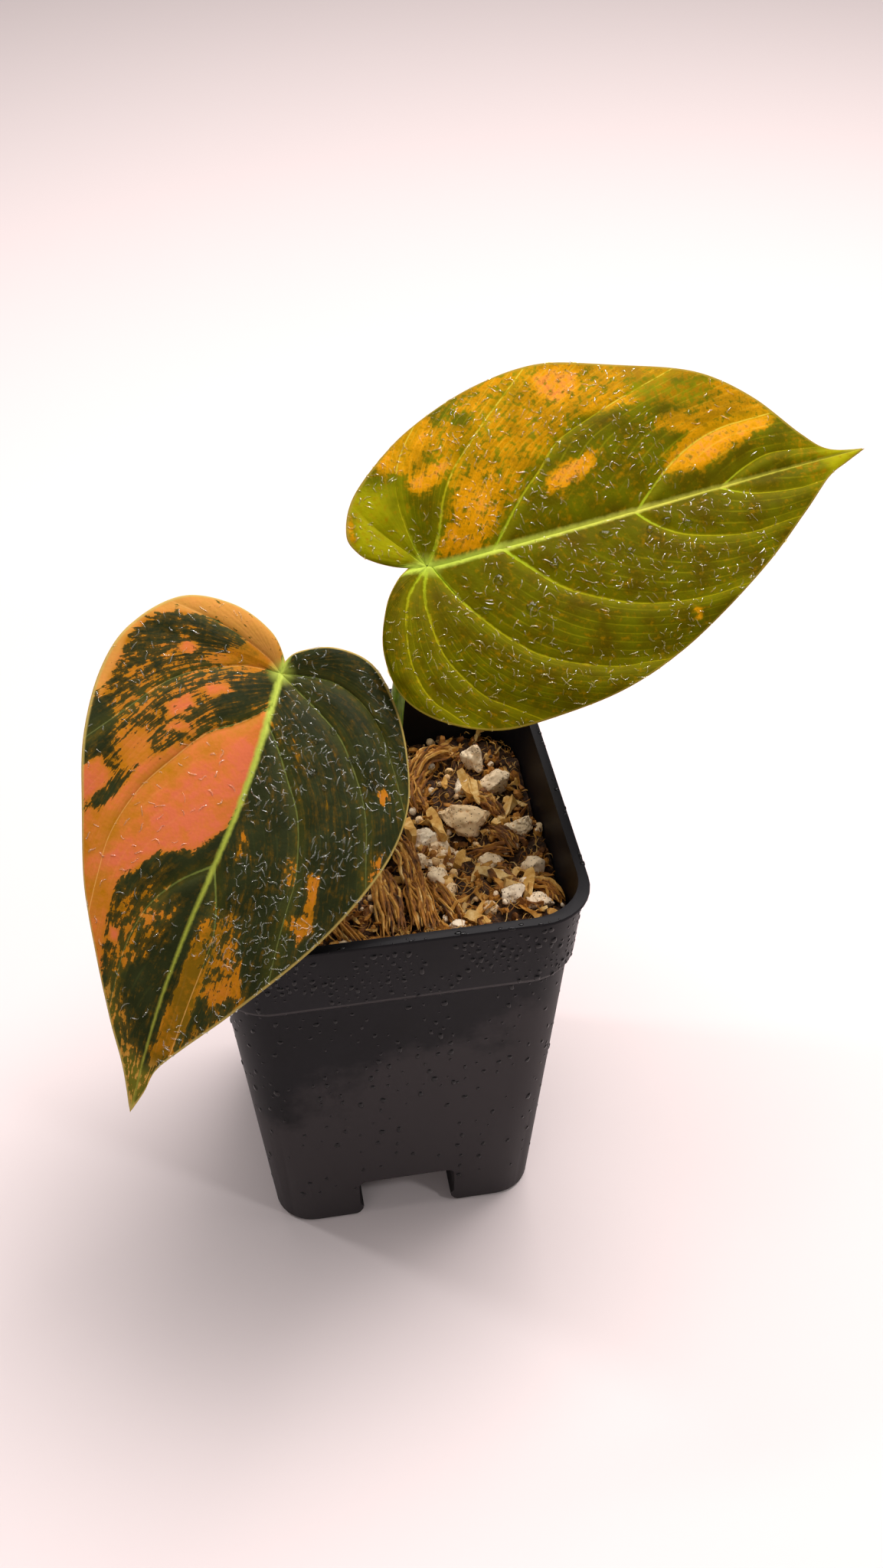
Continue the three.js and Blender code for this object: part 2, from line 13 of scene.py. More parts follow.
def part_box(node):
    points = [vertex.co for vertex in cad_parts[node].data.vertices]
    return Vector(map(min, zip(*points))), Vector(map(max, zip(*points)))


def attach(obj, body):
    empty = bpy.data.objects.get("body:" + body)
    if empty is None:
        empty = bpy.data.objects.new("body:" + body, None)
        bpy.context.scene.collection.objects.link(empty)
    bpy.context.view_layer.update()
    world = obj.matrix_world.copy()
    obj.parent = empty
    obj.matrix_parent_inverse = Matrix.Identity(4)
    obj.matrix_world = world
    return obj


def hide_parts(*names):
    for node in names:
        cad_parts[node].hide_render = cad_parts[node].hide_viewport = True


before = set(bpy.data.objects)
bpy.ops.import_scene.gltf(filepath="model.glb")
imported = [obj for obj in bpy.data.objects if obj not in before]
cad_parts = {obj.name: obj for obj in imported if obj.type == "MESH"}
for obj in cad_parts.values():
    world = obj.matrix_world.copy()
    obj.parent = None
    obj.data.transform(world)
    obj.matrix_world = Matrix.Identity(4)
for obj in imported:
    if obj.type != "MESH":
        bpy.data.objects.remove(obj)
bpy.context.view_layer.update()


# Studio: a pale paper floor that runs out of view, a soft box over the right shoulder of the plant, a
# weaker one low in front, and two small ones that glint in the water. The camera looks down on the pot
# from a little to its left.
MM = 0.001
EYE = (-36.43, -324.49, 410.64)
LOOK_AT = (11.43, -29.03, 145.29)
EYE_ROLL = math.radians(-0.73)
LENS_MM = 42.19
pot_low, pot_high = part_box("pot")
POT_FOOT = Vector(((pot_low[0] + pot_high[0]) / 2, (pot_low[1] + pot_high[1]) / 2, pot_low[2]))


def spot(x, y, z):
    """A place in the row frame, in metres, from millimetres about the middle of the pot's foot."""
    return POT_FOOT + Vector((x, y, z)) * MM


def facing(place, target, roll=0.0):
    """The turn that points a camera or a lamp from one spot at another."""
    aim = (spot(*target) - spot(*place)).to_track_quat("-Z", "Y")
    return (aim @ Quaternion((0, 0, 1), roll)).to_euler()


def linear(code):
    """A linear colour from an sRGB hex code."""
    parts = [int(code[k:k + 2], 16) / 255 for k in (0, 2, 4)]
    return [p / 12.92 if p <= 0.04045 else ((p + 0.055) / 1.055) ** 2.4 for p in parts] + [1.0]


def new_finish(name):
    """An empty material and its node tree."""
    finish = bpy.data.materials.new(name)
    finish.use_nodes = True
    finish.node_tree.nodes.clear()
    return finish, finish.node_tree


def add(tree, kind, sockets=None, out=0, stops=None, **settings):
    """A new shader node with its settings, sockets and ramp stops. Gives back one of its outputs."""
    made = tree.nodes.new("ShaderNode" + kind)
    for name, value in settings.items():
        setattr(made, name, value)
    for socket, value in (sockets or {}).items():
        if isinstance(value, bpy.types.NodeSocket):
            tree.links.new(value, made.inputs[socket])
        else:
            made.inputs[socket].default_value = value
    if stops:
        while len(made.color_ramp.elements) < len(stops):
            made.color_ramp.elements.new(1.0)
        for element, (place, code) in zip(made.color_ramp.elements, stops):
            element.position = place
            element.color = linear(code)
    return made.outputs[out] if len(made.outputs) else made


def soft_box(name, place, target, width, watts, tint):
    """A square soft box, in millimetres, aimed at a spot."""
    bpy.ops.object.light_add(type="AREA", location=spot(*place), rotation=facing(place, target))
    lamp = bpy.context.object
    lamp.name = name
    lamp.data.shape = "SQUARE"
    lamp.data.size = width * MM
    lamp.data.energy = watts
    lamp.data.color = linear(tint)[:3]


bpy.ops.object.select_all(action="DESELECT")
bpy.ops.object.camera_add(location=spot(*EYE), rotation=facing(EYE, LOOK_AT, EYE_ROLL))
camera = bpy.context.object
camera.data.lens = LENS_MM
camera.data.sensor_width = 36
camera.data.clip_start = 0.01
bpy.context.scene.camera = camera
bpy.context.scene.view_settings.view_transform = "Standard"

soft_box("soft_box_above", (250, 260, 950), (20, 0, 90), 800, 13.6, "fff8f6")
soft_box("soft_box_front", (-420, -760, 420), (0, -20, 80), 600, 0.9, "fff6f4")
soft_box("glint_box_left", (-520, 260, 640), (0, 0, 100), 80, 0.9, "ffffff")
soft_box("glint_box_right", (420, -420, 620), (0, 0, 100), 80, 0.7, "ffffff")

sky = bpy.data.worlds.new("studio_air")
sky.use_nodes = True
sky.node_tree.nodes["Background"].inputs["Color"].default_value = linear("fdf8f6")
sky.node_tree.nodes["Background"].inputs["Strength"].default_value = 0.2
bpy.context.scene.world = sky

bpy.ops.mesh.primitive_plane_add(size=8, location=spot(0, 0, 0))
floor = bpy.context.object
floor.name = "floor"
paper, tree = new_finish("matt_paper_floor")
add(tree, "OutputMaterial", {"Surface": add(tree, "BsdfPrincipled", {
    "Base Color": linear("f1e5e5"),
    "Roughness": 0.9,
    "Specular IOR Level": 0.2,
})})
floor.data.materials.append(paper)


# Pot: a square nursery pot, 90 mm across the rim, injection moulded in charcoal polypropylene. Its wall
# tapers to four feet round a drainage channel, and steps out to a collar under a thin rolled lip.
# Levels give the outside's height and half width, and drain holes their place, radius and height.
WALL = 1.2
MIX_CLEARANCE = 0.3
CORNER_SHARE = 0.292
BODY_LEVELS = [(0.3, 33.6), (0.9, 33.97), (45, 37.5), (91, 41.2), (91.5, 41.6), (92.5, 42.2), (93.1, 42.4)]
LIP_LEVELS = [(112.6, 43.85), (112.9, 44.2), (113.05, 44.8), (113.2, 45), (113.7, 45), (113.92, 44.9),
              (114, 44.7)]
CHANNEL_HALF = 12.6
CHANNEL_HEIGHT = 15.5
CROWN_ROUND = 2
FOOT_ROUND = 4
DRAIN_HOLES = [(0, 0, 5.0, 15.5), (21, 21, 3.0, 0), (-21, 21, 3.0, 0), (-21, -21, 3.0, 0),
               (21, -21, 3.0, 0)]


def body_half(z):
    """Half the width of the pot's outside at a height."""
    levels = [(0, 33.7)] + BODY_LEVELS + LIP_LEVELS
    return float(np.interp(z, [level[0] for level in levels], [level[1] for level in levels]))


def draw_up(half, z, levels):
    """Extrudes the selected plate up through levels of height and half width, and closes the mesh."""
    for next_z, next_half in levels:
        bpy.ops.mesh.extrude_region_move(TRANSFORM_OT_translate={"value": (0, 0, (next_z - z) * MM)})
        k = next_half / half
        bpy.ops.transform.resize(value=(k, k, 1), center_override=spot(0, 0, next_z))
        half, z = next_half, next_z
    bpy.ops.mesh.select_all(action="SELECT")
    bpy.ops.mesh.normals_make_consistent(inside=False)
    bpy.ops.object.mode_set(mode="OBJECT")
    return bpy.context.object


def square_block(half, z, levels):
    """A solid with square rounded sections, from a plate drawn up through its levels."""
    bpy.ops.object.select_all(action="DESELECT")
    bpy.ops.mesh.primitive_plane_add(size=2 * half * MM, location=spot(0, 0, z))
    bpy.ops.object.mode_set(mode="EDIT")
    bpy.ops.mesh.bevel(offset=CORNER_SHARE * half * MM, segments=9, affect="VERTICES")
    return draw_up(half, z, levels)


def pot_inside(inset):
    """The space inside the wall, held back from the outside by an inset."""
    levels = [(z, body_half(z) - inset) for z in (45, 91, 93.1)] + [(115, 43.9 - inset)]
    return square_block(body_half(inset) - inset, inset, levels)


def pick_edges(piece, wanted):
    """Selects the edges whose two ends pass a test, and no faces."""
    for edge in piece.data.edges:
        edge.select = wanted(*(piece.data.vertices[k].co for k in edge.vertices))
    for face in piece.data.polygons:
        face.select = False


def channel_arm(offset, turn):
    """One arm of the drainage channel, or with an offset the wall round it: a bar with a round crown."""
    bpy.ops.object.select_all(action="DESELECT")
    height = CHANNEL_HEIGHT + offset - FOOT_ROUND
    bpy.ops.mesh.primitive_cube_add(size=1, location=spot(0, 0, FOOT_ROUND + height / 2))
    arm = bpy.context.object
    bpy.ops.object.mode_set(mode="EDIT")
    half = CHANNEL_HALF + offset
    bpy.ops.transform.resize(value=(2 * half * MM, 120 * MM, height * MM))
    bpy.ops.object.mode_set(mode="OBJECT")
    pick_edges(arm, lambda a, b: min(a.z, b.z) > 0 and abs(a.x - b.x) < 1e-6)
    bpy.ops.object.mode_set(mode="EDIT")
    bpy.ops.mesh.select_mode(type="EDGE")
    bpy.ops.mesh.bevel(offset=(CROWN_ROUND + offset) * MM, segments=6)
    bpy.ops.mesh.select_mode(type="FACE")
    bpy.ops.mesh.select_all(action="DESELECT")
    bpy.ops.object.mode_set(mode="OBJECT")
    for face in arm.data.polygons:
        face.select = face.normal.z < -0.9
    bpy.ops.object.mode_set(mode="EDIT")
    wide = half
    for step in range(1, 5):
        angle = step * math.pi / 8
        next_wide = half + (FOOT_ROUND - offset) * (1 - math.cos(angle))
        drop = FOOT_ROUND * (math.sin(angle) - math.sin(angle - math.pi / 8))
        bpy.ops.mesh.extrude_region_move(TRANSFORM_OT_translate={"value": (0, 0, -drop * MM)})
        bpy.ops.transform.resize(value=(next_wide / wide, 1, 1))
        wide = next_wide
    bpy.ops.mesh.extrude_region_move(TRANSFORM_OT_translate={"value": (0, 0, -3 * MM)})
    bpy.ops.mesh.select_all(action="SELECT")
    bpy.ops.mesh.normals_make_consistent(inside=False)
    bpy.ops.object.mode_set(mode="OBJECT")
    arm.rotation_euler.z = turn
    return arm


def round_bar(x, y, radius, low, high):
    """A round bar for cutting a hole."""
    bpy.ops.object.select_all(action="DESELECT")
    bpy.ops.mesh.primitive_cylinder_add(vertices=32, radius=radius * MM, depth=(high - low) * MM,
                                        location=spot(x, y, (low + high) / 2))
    return bpy.context.object


def pick_up(piece):
    """Selects one piece alone and makes it the active one."""
    bpy.ops.object.select_all(action="DESELECT")
    piece.select_set(True)
    bpy.context.view_layer.objects.active = piece


def combine(piece, tool, operation):
    """Cuts, keeps or joins a tool into a piece and puts the tool away."""
    step = piece.modifiers.new("step", "BOOLEAN")
    step.object = tool
    step.operation = operation
    step.solver = "MANIFOLD"
    pick_up(piece)
    bpy.ops.object.modifier_apply(modifier=step.name)
    bpy.data.objects.remove(tool)


def settle(piece, name, finish, slot, *nodes):
    """Lays a finished piece's place into its mesh, names it, and gives it its finish and body. The slot is
    not used.
    """
    pick_up(piece)
    bpy.ops.object.transform_apply(location=True, rotation=True, scale=True)
    piece.name = name
    piece.data.name = name
    piece.data.materials.clear()
    piece.data.materials.append(finish)
    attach(piece, "root")
    if nodes:
        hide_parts(*nodes)


# Moulded polypropylene: charcoal, satin, with the fine grain of the mould, and painted leaf shade on its
# upper part.
moulded_pp, tree = new_finish("moulded_polypropylene")
place = add(tree, "TexCoord", out="Object")
grain = add(tree, "TexNoise", {"Vector": place, "Scale": 1 / (0.35 * MM), "Detail": 2})
smear = add(tree, "TexNoise", {"Vector": place, "Scale": 1 / (18 * MM), "Detail": 4, "Roughness": 0.6})
height = add(tree, "SeparateXYZ", {0: place}).node.outputs
# Painted shade of the hanging lower leaf: a slanting edge, low on the left and high on the right, darker
# above it and lighter below it.
leaf_shade_edge = add(tree, "Math", {0: height[0], 1: 0.45, 2: 80 * MM}, operation="MULTIPLY_ADD")
below = add(tree, "Math", {0: leaf_shade_edge, 1: height[2]}, operation="SUBTRACT")
wander = add(tree, "Math", {0: smear, 1: 60 * MM, 2: -30 * MM}, operation="MULTIPLY_ADD")
below = add(tree, "Math", {0: below, 1: wander}, operation="ADD")
lit_below_leaf_shade = add(tree, "MapRange", {"Value": below, 1: -8 * MM, 2: 9 * MM}, interpolation_type="SMOOTHSTEP")
black = add(tree, "ValToRGB", {0: smear}, stops=[(0.3, "0d0c0f"), (0.7, "151418")])
tone = add(tree, "Mix", {0: lit_below_leaf_shade, 6: black, 7: linear("343031")}, data_type="RGBA", out=2)
# Painted highlight: a thin lighter band along the rounded lower edge of the collar.
collar_step_band = add(tree, "Math", {0: height[2], 1: 92.7 * MM, 2: 0.6 * MM}, operation="COMPARE")
painted_step_highlight = add(tree, "Math", {0: collar_step_band, 1: 0.35}, operation="MULTIPLY")
tone = add(tree, "Mix", {0: painted_step_highlight, 6: tone, 7: linear("5a5554")}, data_type="RGBA", out=2)
gloss = add(tree, "MapRange", {"Value": lit_below_leaf_shade, 3: 0.46, 4: 0.56})
relief = add(tree, "Bump", {"Height": grain, "Strength": 0.25, "Distance": 0.04 * MM})
add(tree, "OutputMaterial", {"Surface": add(tree, "BsdfPrincipled", {
    "Base Color": tone,
    "Roughness": gloss,
    "IOR": 1.49,
    "Specular IOR Level": 0.13,
    "Normal": relief,
})})

pot = square_block(33.0, 0, BODY_LEVELS + LIP_LEVELS)
hollow = pot_inside(WALL)
for turn in (0, math.pi / 2):
    combine(pot, channel_arm(0, turn), "DIFFERENCE")
    combine(hollow, channel_arm(WALL, turn), "DIFFERENCE")
combine(pot, hollow, "DIFFERENCE")
for x, y, radius, z in DRAIN_HOLES:
    combine(pot, round_bar(x, y, radius, z - 3, z + 3), "DIFFERENCE")
pick_up(pot)
bpy.ops.object.shade_smooth_by_angle(angle=math.radians(32))
settle(pot, "nursery_pot", moulded_pp, "pot_plastic", "pot")


# Growing mix: coco husk, bark and straw-like husk splints, pumice and perlite, heaped a little towards
# the front wall. It fills the pot, and the loose pieces lie half sunk in each other.
STEM_HOLE = 4.1

# Lumps are given by place, half sizes and turn, bundles by route, half width and count of fibres, and
# splints by their two ends, with heights above the mix.
LUMPS = [
    (23, 9, 7.2, 4.6, 3.6, -20), (29, 29, 3.4, 3.6, 4.2, 10), (33, 21, 4.4, 3.4, 3.0, 15),
    (25, 20, 3.0, 2.8, 2.4, 60), (36, 3, 3.7, 3.4, 3.1, 40), (11.5, 1.5, 3.6, 3.0, 2.6, 15),
    (16.5, 0.5, 2.1, 2.0, 1.9, 70), (27, -6, 2.9, 2.6, 2.6, 25), (10, -6, 2.1, 2.0, 2.0, 50),
    (13, -12, 2.3, 2.9, 2.3, 20), (15, -17, 1.9, 1.4, 1.4, 75), (36.5, -12, 3.3, 3.1, 3.0, 30),
    (29, -24, 3.0, 2.4, 2.4, 35), (35, -26, 3.4, 2.6, 2.2, 10), (33, -19, 1.5, 1.5, 1.5, 0),
    (23, -26, 1.9, 1.8, 1.9, 5), (15, -30, 2.3, 1.5, 1.5, 10), (28, -14, 1.8, 1.8, 1.7, 80),
    (-12, -33, 2.0, 1.4, 1.3, 20), (-22, 27, 3.6, 3.0, 2.8, 30), (-31, 10, 3.2, 2.6, 2.5, 75),
    (-8, 33, 2.8, 2.4, 2.3, 15), (-28, -14, 3.0, 2.5, 2.4, 55), (8, 27, 2.4, 2.2, 2.0, 35),
    (-18, -22, 2.2, 1.9, 1.8, 65), (-34, 31, 2.5, 2.2, 2.1, 5), (-24, -31, 2.6, 2.2, 2.0, 45),
]
HUSK_BUNDLES = [
    ([(-1, -8, 2), (0, -18, 3), (0, -31, 1)], 3.4, 60),
    ([(7, -9, 2), (7, -20, 3.2), (7, -32, 1)], 3.2, 60),
    ([(4, 3, 1), (6, -6, 2.6), (7, -15, 1)], 2.8, 44),
    ([(11, -12, 0), (13, -20, 2), (15, -29, 0.5)], 2.2, 34),
    ([(29, 6, 0), (32, 1, 2), (34, -5, 0)], 2.0, 30),
    ([(27, 15, 1), (30, 12, 2.2), (33, 8, 0.5)], 1.9, 26),
    ([(34, -19, 0.5), (38, -23, 2.4), (40, -27, 0.5)], 2.0, 26),
    ([(22, -2, 0), (28, -2.5, 2), (34, -5, 0)], 1.6, 22),
    ([(12, 24, 1), (17, 30, 4), (24, 34, 1)], 3.0, 44),
    ([(13, 14, 0), (12, 21, 3), (16, 28, 1)], 2.6, 40),
    ([(-9, -20, 1), (-14, -26, 2.6), (-12, -33, 1)], 2.8, 36),
    ([(-20, 6, 0), (-24, -2, 2.6), (-22, -10, 0)], 2.8, 36),
    ([(-12, 18, 0), (-16, 26, 2.6), (-14, 34, 0)], 2.6, 34),
    ([(-36, -6, 0), (-34, -20, 2), (-30, -30, 0)], 2.4, 30),
]
SPLINTS = [
    ((27, 22, 2.5), (27, 10, 5)), ((25, 24, 3.5), (26, 14, 1.5)), ((30, 5, 1), (37, 13, 3)),
    ((15, 14, 1), (17, 1, 3.5)), ((9, 12, 1), (9, -1, 4)), ((35, -15, 3.4), (32, -26, 1.2)),
    ((23, -13, 2), (30, -18, 2.4)), ((17, -28, 2), (22, -32, 1)), ((34, 14, 2), (40, 12, 1)),
    ((18, -9, 1), (21, -3, 2.6)),
]
GRAINS = 300
CLUSTERED_GRAINS = 60
SMALL_SPLINTS = 330
LOOSE_HAIRS = 1750
CRUMBS = 650
BED_LEVEL = 97
mix_random = random.Random(611)


def mix_height(x, y):
    """The height of the mix's surface, clear of its loose pieces."""
    swell = 1.3 * np.sin(x / 7.1 + 1.1) * np.cos(y / 8.3) + 0.9 * np.sin((x + y) / 4.7)
    crumb = 0.7 * np.sin(x / 2.3 + 2.0) * np.sin(y / 2.1 + 0.6)
    return 97.5 + 0.13 * np.maximum(0, -y) + swell + crumb


def within_wall(points, spare):
    """Points drawn in until they stand clear of the pot's wall."""
    half = np.interp(points[:, 2], (93, 115), (42.4, 43.9)) - WALL - spare
    corner = CORNER_SHARE * half
    away = np.abs(points[:, :2]) - (half - corner)[:, None]
    beyond = np.linalg.norm(np.maximum(away, 0), axis=1)
    k = np.where(beyond > corner, corner / np.maximum(beyond, 1e-9), 1)
    held = np.where(away > 0, away * k[:, None], away)
    inner = points.copy()
    inner[:, :2] = np.sign(points[:, :2]) * (held + (half - corner)[:, None])
    return inner


def take_shape(piece):
    """The points of a modelled piece, in millimetres about its own middle, and its faces. The piece goes."""
    points = np.array([vertex.co[:] for vertex in piece.data.vertices]) / MM
    faces = [tuple(face.vertices) for face in piece.data.polygons]
    bpy.data.objects.remove(piece)
    return points, faces


def laid(name, parts, smooth=35):
    """One object from many small pieces, each given as points, faces and a tone from 0 to 1."""
    points, faces, tones = [], [], []
    start = 0
    for piece_points, piece_faces, tone in parts:
        points.append(piece_points)
        faces += [[k + start for k in face] for face in piece_faces]
        tones.append(np.full(len(piece_points), tone))
        start += len(piece_points)
    mesh = bpy.data.meshes.new(name)
    mesh.from_pydata((np.vstack(points) * MM + np.array(POT_FOOT)).tolist(), [], faces)
    mesh.attributes.new("tone", "FLOAT", "POINT").data.foreach_set("value", np.concatenate(tones))
    made = bpy.data.objects.new(name, mesh)
    bpy.context.collection.objects.link(made)
    pick_up(made)
    bpy.ops.object.shade_smooth_by_angle(angle=math.radians(smooth))
    return made


def turned(points, heading, pitch=0.0, roll=0.0):
    """Points turned about their own length, then tipped, then headed."""
    turn = Matrix.Rotation(heading, 3, "Z") @ Matrix.Rotation(pitch, 3, "Y") @ Matrix.Rotation(roll, 3, "X")
    return points @ np.array(turn).T


def evenly(line, count):
    """Count spots evenly spaced along a line of points."""
    steps = np.linalg.norm(np.diff(line, axis=0), axis=1)
    travelled = np.concatenate([[0], np.cumsum(steps)])
    at = np.linspace(0, travelled[-1], count)
    return np.column_stack([np.interp(at, travelled, line[:, k]) for k in range(line.shape[1])])


def smooth_line(points, count):
    """A Catmull-Rom curve through the points, as count spots evenly spaced along it."""
    knots = np.array(points, float)
    knots = np.vstack([knots[:1], knots, knots[-1:]])
    t = np.linspace(0, 1, 24, endpoint=False)[:, None]
    runs = []
    for a, b, c, d in zip(knots, knots[1:], knots[2:], knots[3:]):
        runs.append(b + 0.5 * t * (c - a + t * (2 * a - 5 * b + 4 * c - d + t * (3 * b - a - 3 * c + d))))
    return evenly(np.vstack([*runs, knots[-1:]]), count)


def strand(route, radius, sides=5, count=9):
    """A tapered fibre along a route, closed at both ends."""
    line = smooth_line(route, count)
    ahead = np.gradient(line, axis=0)
    ahead /= np.linalg.norm(ahead, axis=1)[:, None]
    beside = np.cross(ahead, (0.02, 0.05, 1))
    beside /= np.linalg.norm(beside, axis=1)[:, None]
    above = np.cross(beside, ahead)
    share = np.linspace(-1, 1, count)[:, None]
    girth = radius * (1 - 0.75 * share ** 4)
    ring = [line + girth * (math.cos(a) * beside + math.sin(a) * above)
            for a in np.linspace(0, 2 * math.pi, sides, endpoint=False)]
    points = np.stack(ring, axis=1).reshape(-1, 3)
    faces = []
    for k in range(count - 1):
        for s in range(sides):
            a, b = k * sides + s, k * sides + (s + 1) % sides
            faces.append((a + sides, b + sides, b, a))
    faces += [tuple(range(sides)), tuple(reversed(range((count - 1) * sides, count * sides)))]
    return points, faces


# Damp fines under the loose pieces: dark brown peat and husk dust.
fines, tree = new_finish("damp_husk_fines")
place = add(tree, "TexCoord", out="Object")
grains = add(tree, "TexNoise", {"Vector": place, "Scale": 1 / (1.3 * MM), "Detail": 6, "Roughness": 0.7})
tone = add(tree, "ValToRGB", {0: grains}, stops=[(0.35, "1a1009"), (0.52, "452a15"), (0.68, "7a542c")])
relief = add(tree, "Bump", {"Height": grains, "Strength": 1.0, "Distance": 0.5 * MM})
add(tree, "OutputMaterial", {"Surface": add(tree, "BsdfPrincipled", {
    "Base Color": tone,
    "Roughness": 0.85,
    "Normal": relief,
})})

bpy.ops.object.select_all(action="DESELECT")
bpy.ops.mesh.primitive_grid_add(x_subdivisions=140, y_subdivisions=140, size=90 * MM,
                                location=spot(0, 0, BED_LEVEL))
bed = bpy.context.object
bpy.ops.object.mode_set(mode="EDIT")
bpy.ops.mesh.region_to_loop()
bpy.ops.mesh.extrude_edges_move(TRANSFORM_OT_translate={"value": (0, 0, -BED_LEVEL * MM)})
bpy.ops.mesh.edge_face_add()
bpy.ops.mesh.select_all(action="SELECT")
bpy.ops.mesh.normals_make_consistent(inside=False)
bpy.ops.object.mode_set(mode="OBJECT")
# The top of the bed takes the mix's height, and its underside stays flat.
for vertex in bed.data.vertices:
    x, y, z = vertex.co / MM
    if z > -50:
        rough = noise.fractal(Vector((x, y, 3)) / 2.4, 1.0, 2.0, 3)
        vertex.co.z = (float(mix_height(x, y)) - BED_LEVEL - 0.6 + 0.9 * rough) * MM
keep = pot_inside(WALL + MIX_CLEARANCE)
for turn in (0, math.pi / 2):
    combine(keep, channel_arm(WALL + MIX_CLEARANCE, turn), "DIFFERENCE")
combine(bed, keep, "INTERSECT")
combine(bed, round_bar(0, 0, STEM_HOLE, 65.7, 120), "DIFFERENCE")
settle(bed, "mix_bed", fines, "growing_mix", "growing_mix")

# Pumice and perlite: pale blunt lumps of foamed rock, pitted all over and stained by the damp husk.
foamed_rock, tree = new_finish("pumice_and_perlite")
place = add(tree, "TexCoord", out="Object")
tone = add(tree, "Attribute", out="Fac", attribute_name="tone")
stain = add(tree, "TexNoise", {"Vector": place, "Scale": 1 / (3.5 * MM), "Detail": 5, "Roughness": 0.65})
pits = add(tree, "TexVoronoi", {"Vector": place, "Scale": 1 / (0.8 * MM), "Randomness": 1.0}, out="Distance")
holes = add(tree, "MapRange", {"Value": pits, 1: 0.12, 2: 0.26, 3: 0.0, 4: 1.0})
stone = add(tree, "ValToRGB", {0: tone}, stops=[
    (0, "ecc084"), (0.35, "fbdcae"), (0.7, "ffedd0"), (1, "ffcc74")])
soiled = add(tree, "MapRange", {"Value": stain, 1: 0.5, 2: 0.72, 3: 0.0, 4: 0.75})
stone = add(tree, "Mix", {0: soiled, 6: stone, 7: linear("9a7440")}, data_type="RGBA", out=2)
stone = add(tree, "Mix", {0: holes, 6: linear("5e4526"), 7: stone}, data_type="RGBA", out=2)
rough = add(tree, "Mix", {0: 0.5, 2: holes, 3: stain}, data_type="FLOAT")
relief = add(tree, "Bump", {"Height": rough, "Strength": 0.9, "Distance": 0.25 * MM})
add(tree, "OutputMaterial", {"Surface": add(tree, "BsdfPrincipled", {
    "Base Color": stone,
    "Roughness": 0.88,
    "Normal": relief,
})})


def blunt_stone(detail, cuts, chance):
    """A lump of foamed rock one millimetre in radius: a ball worn flat on several sides, with deep pores."""
    bpy.ops.object.select_all(action="DESELECT")
    bpy.ops.mesh.primitive_ico_sphere_add(subdivisions=detail, radius=MM)
    points, faces = take_shape(bpy.context.object)
    for _ in range(cuts):
        way = np.array([chance.gauss(0, 1) for _ in range(3)])
        way /= np.linalg.norm(way)
        over = points @ way - chance.uniform(0.55, 0.9)
        points -= np.maximum(over, 0)[:, None] * way * 0.9
    drift = Vector([chance.uniform(0, 50) for _ in range(3)])
    for k, point in enumerate(points):
        lumpy = noise.noise(Vector(point) * 1.7 + drift) * 0.2 + noise.noise(Vector(point) * 5 + drift) * 0.09
        pore = max(0, 0.28 - noise.voronoi(Vector(point) * 3.4 + drift)[0][0]) * 0.9
        points[k] = point * (1 + lumpy - pore)
    return points, faces


stones = []
for x, y, length, width, height, turn in LUMPS:
    points, faces = blunt_stone(5 if length > 3.3 else 4, 11, mix_random)
    tip = mix_random.uniform(-0.2, 0.2)
    points = turned(points * np.array([length, width, height]) * 1.08, math.radians(turn), tip)
    points += np.array([x, y, mix_height(x, y) + 0.3 * height])
    stones.append((within_wall(points, 0.3), faces, mix_random.uniform(0.25, 0.8)))
grain_shapes = [blunt_stone(2, 5, mix_random) for _ in range(6)]
for grain in range(GRAINS):
    x, y = mix_random.uniform(-41, 41), mix_random.uniform(-41, 41)
    size = mix_random.uniform(0.35, 1.3) ** 1.3
    if grain < CLUSTERED_GRAINS:
        x, y = mix_random.gauss(14, 3), mix_random.gauss(-5, 5)
        size = mix_random.uniform(0.7, 1.5)
    points, faces = grain_shapes[mix_random.randrange(6)]
    heading, pitch, roll = (mix_random.uniform(0, limit) for limit in (6.28, 3, 3))
    points = turned(points * size, heading, pitch, roll)
    if math.hypot(x, y) > 6:
        points = points + np.array([x, y, mix_height(x, y) + mix_random.uniform(0, 0.8)])
        stones.append((within_wall(points, 0.3), faces, mix_random.random()))
settle(laid("mix_pumice", stones, 45), "mix_pumice", foamed_rock, "growing_mix", "growing_mix")

# Coco husk: orange-brown fibre, in thick combed bundles and as loose curled hairs, with pale splints of
# husk skin and bark among them.
husk, tree = new_finish("coco_husk_fibre")
place = add(tree, "TexCoord", out="Object")
tone = add(tree, "Attribute", out="Fac", attribute_name="tone")
blotch = add(tree, "TexNoise", {"Vector": place, "Scale": 1 / (2.2 * MM), "Detail": 5, "Roughness": 0.6})
fibre_lines = add(tree, "TexNoise", {"Vector": place, "Scale": 1 / (0.3 * MM), "Detail": 2})
mottle = add(tree, "MapRange", {"Value": blotch, 1: 0.3, 2: 0.7, 3: -0.2, 4: 0.2})
shade = add(tree, "Math", {0: tone, 1: mottle}, operation="ADD")
brown = add(tree, "ValToRGB", {0: shade}, stops=[
    (0, "341f0d"), (0.3, "855014"), (0.55, "b67820"), (0.8, "d3a24e"), (1, "edca86")])
relief = add(tree, "Bump", {"Height": fibre_lines, "Strength": 0.8, "Distance": 0.15 * MM})
add(tree, "OutputMaterial", {"Surface": add(tree, "BsdfPrincipled", {
    "Base Color": brown,
    "Roughness": 0.7,
    "Normal": relief,
})})


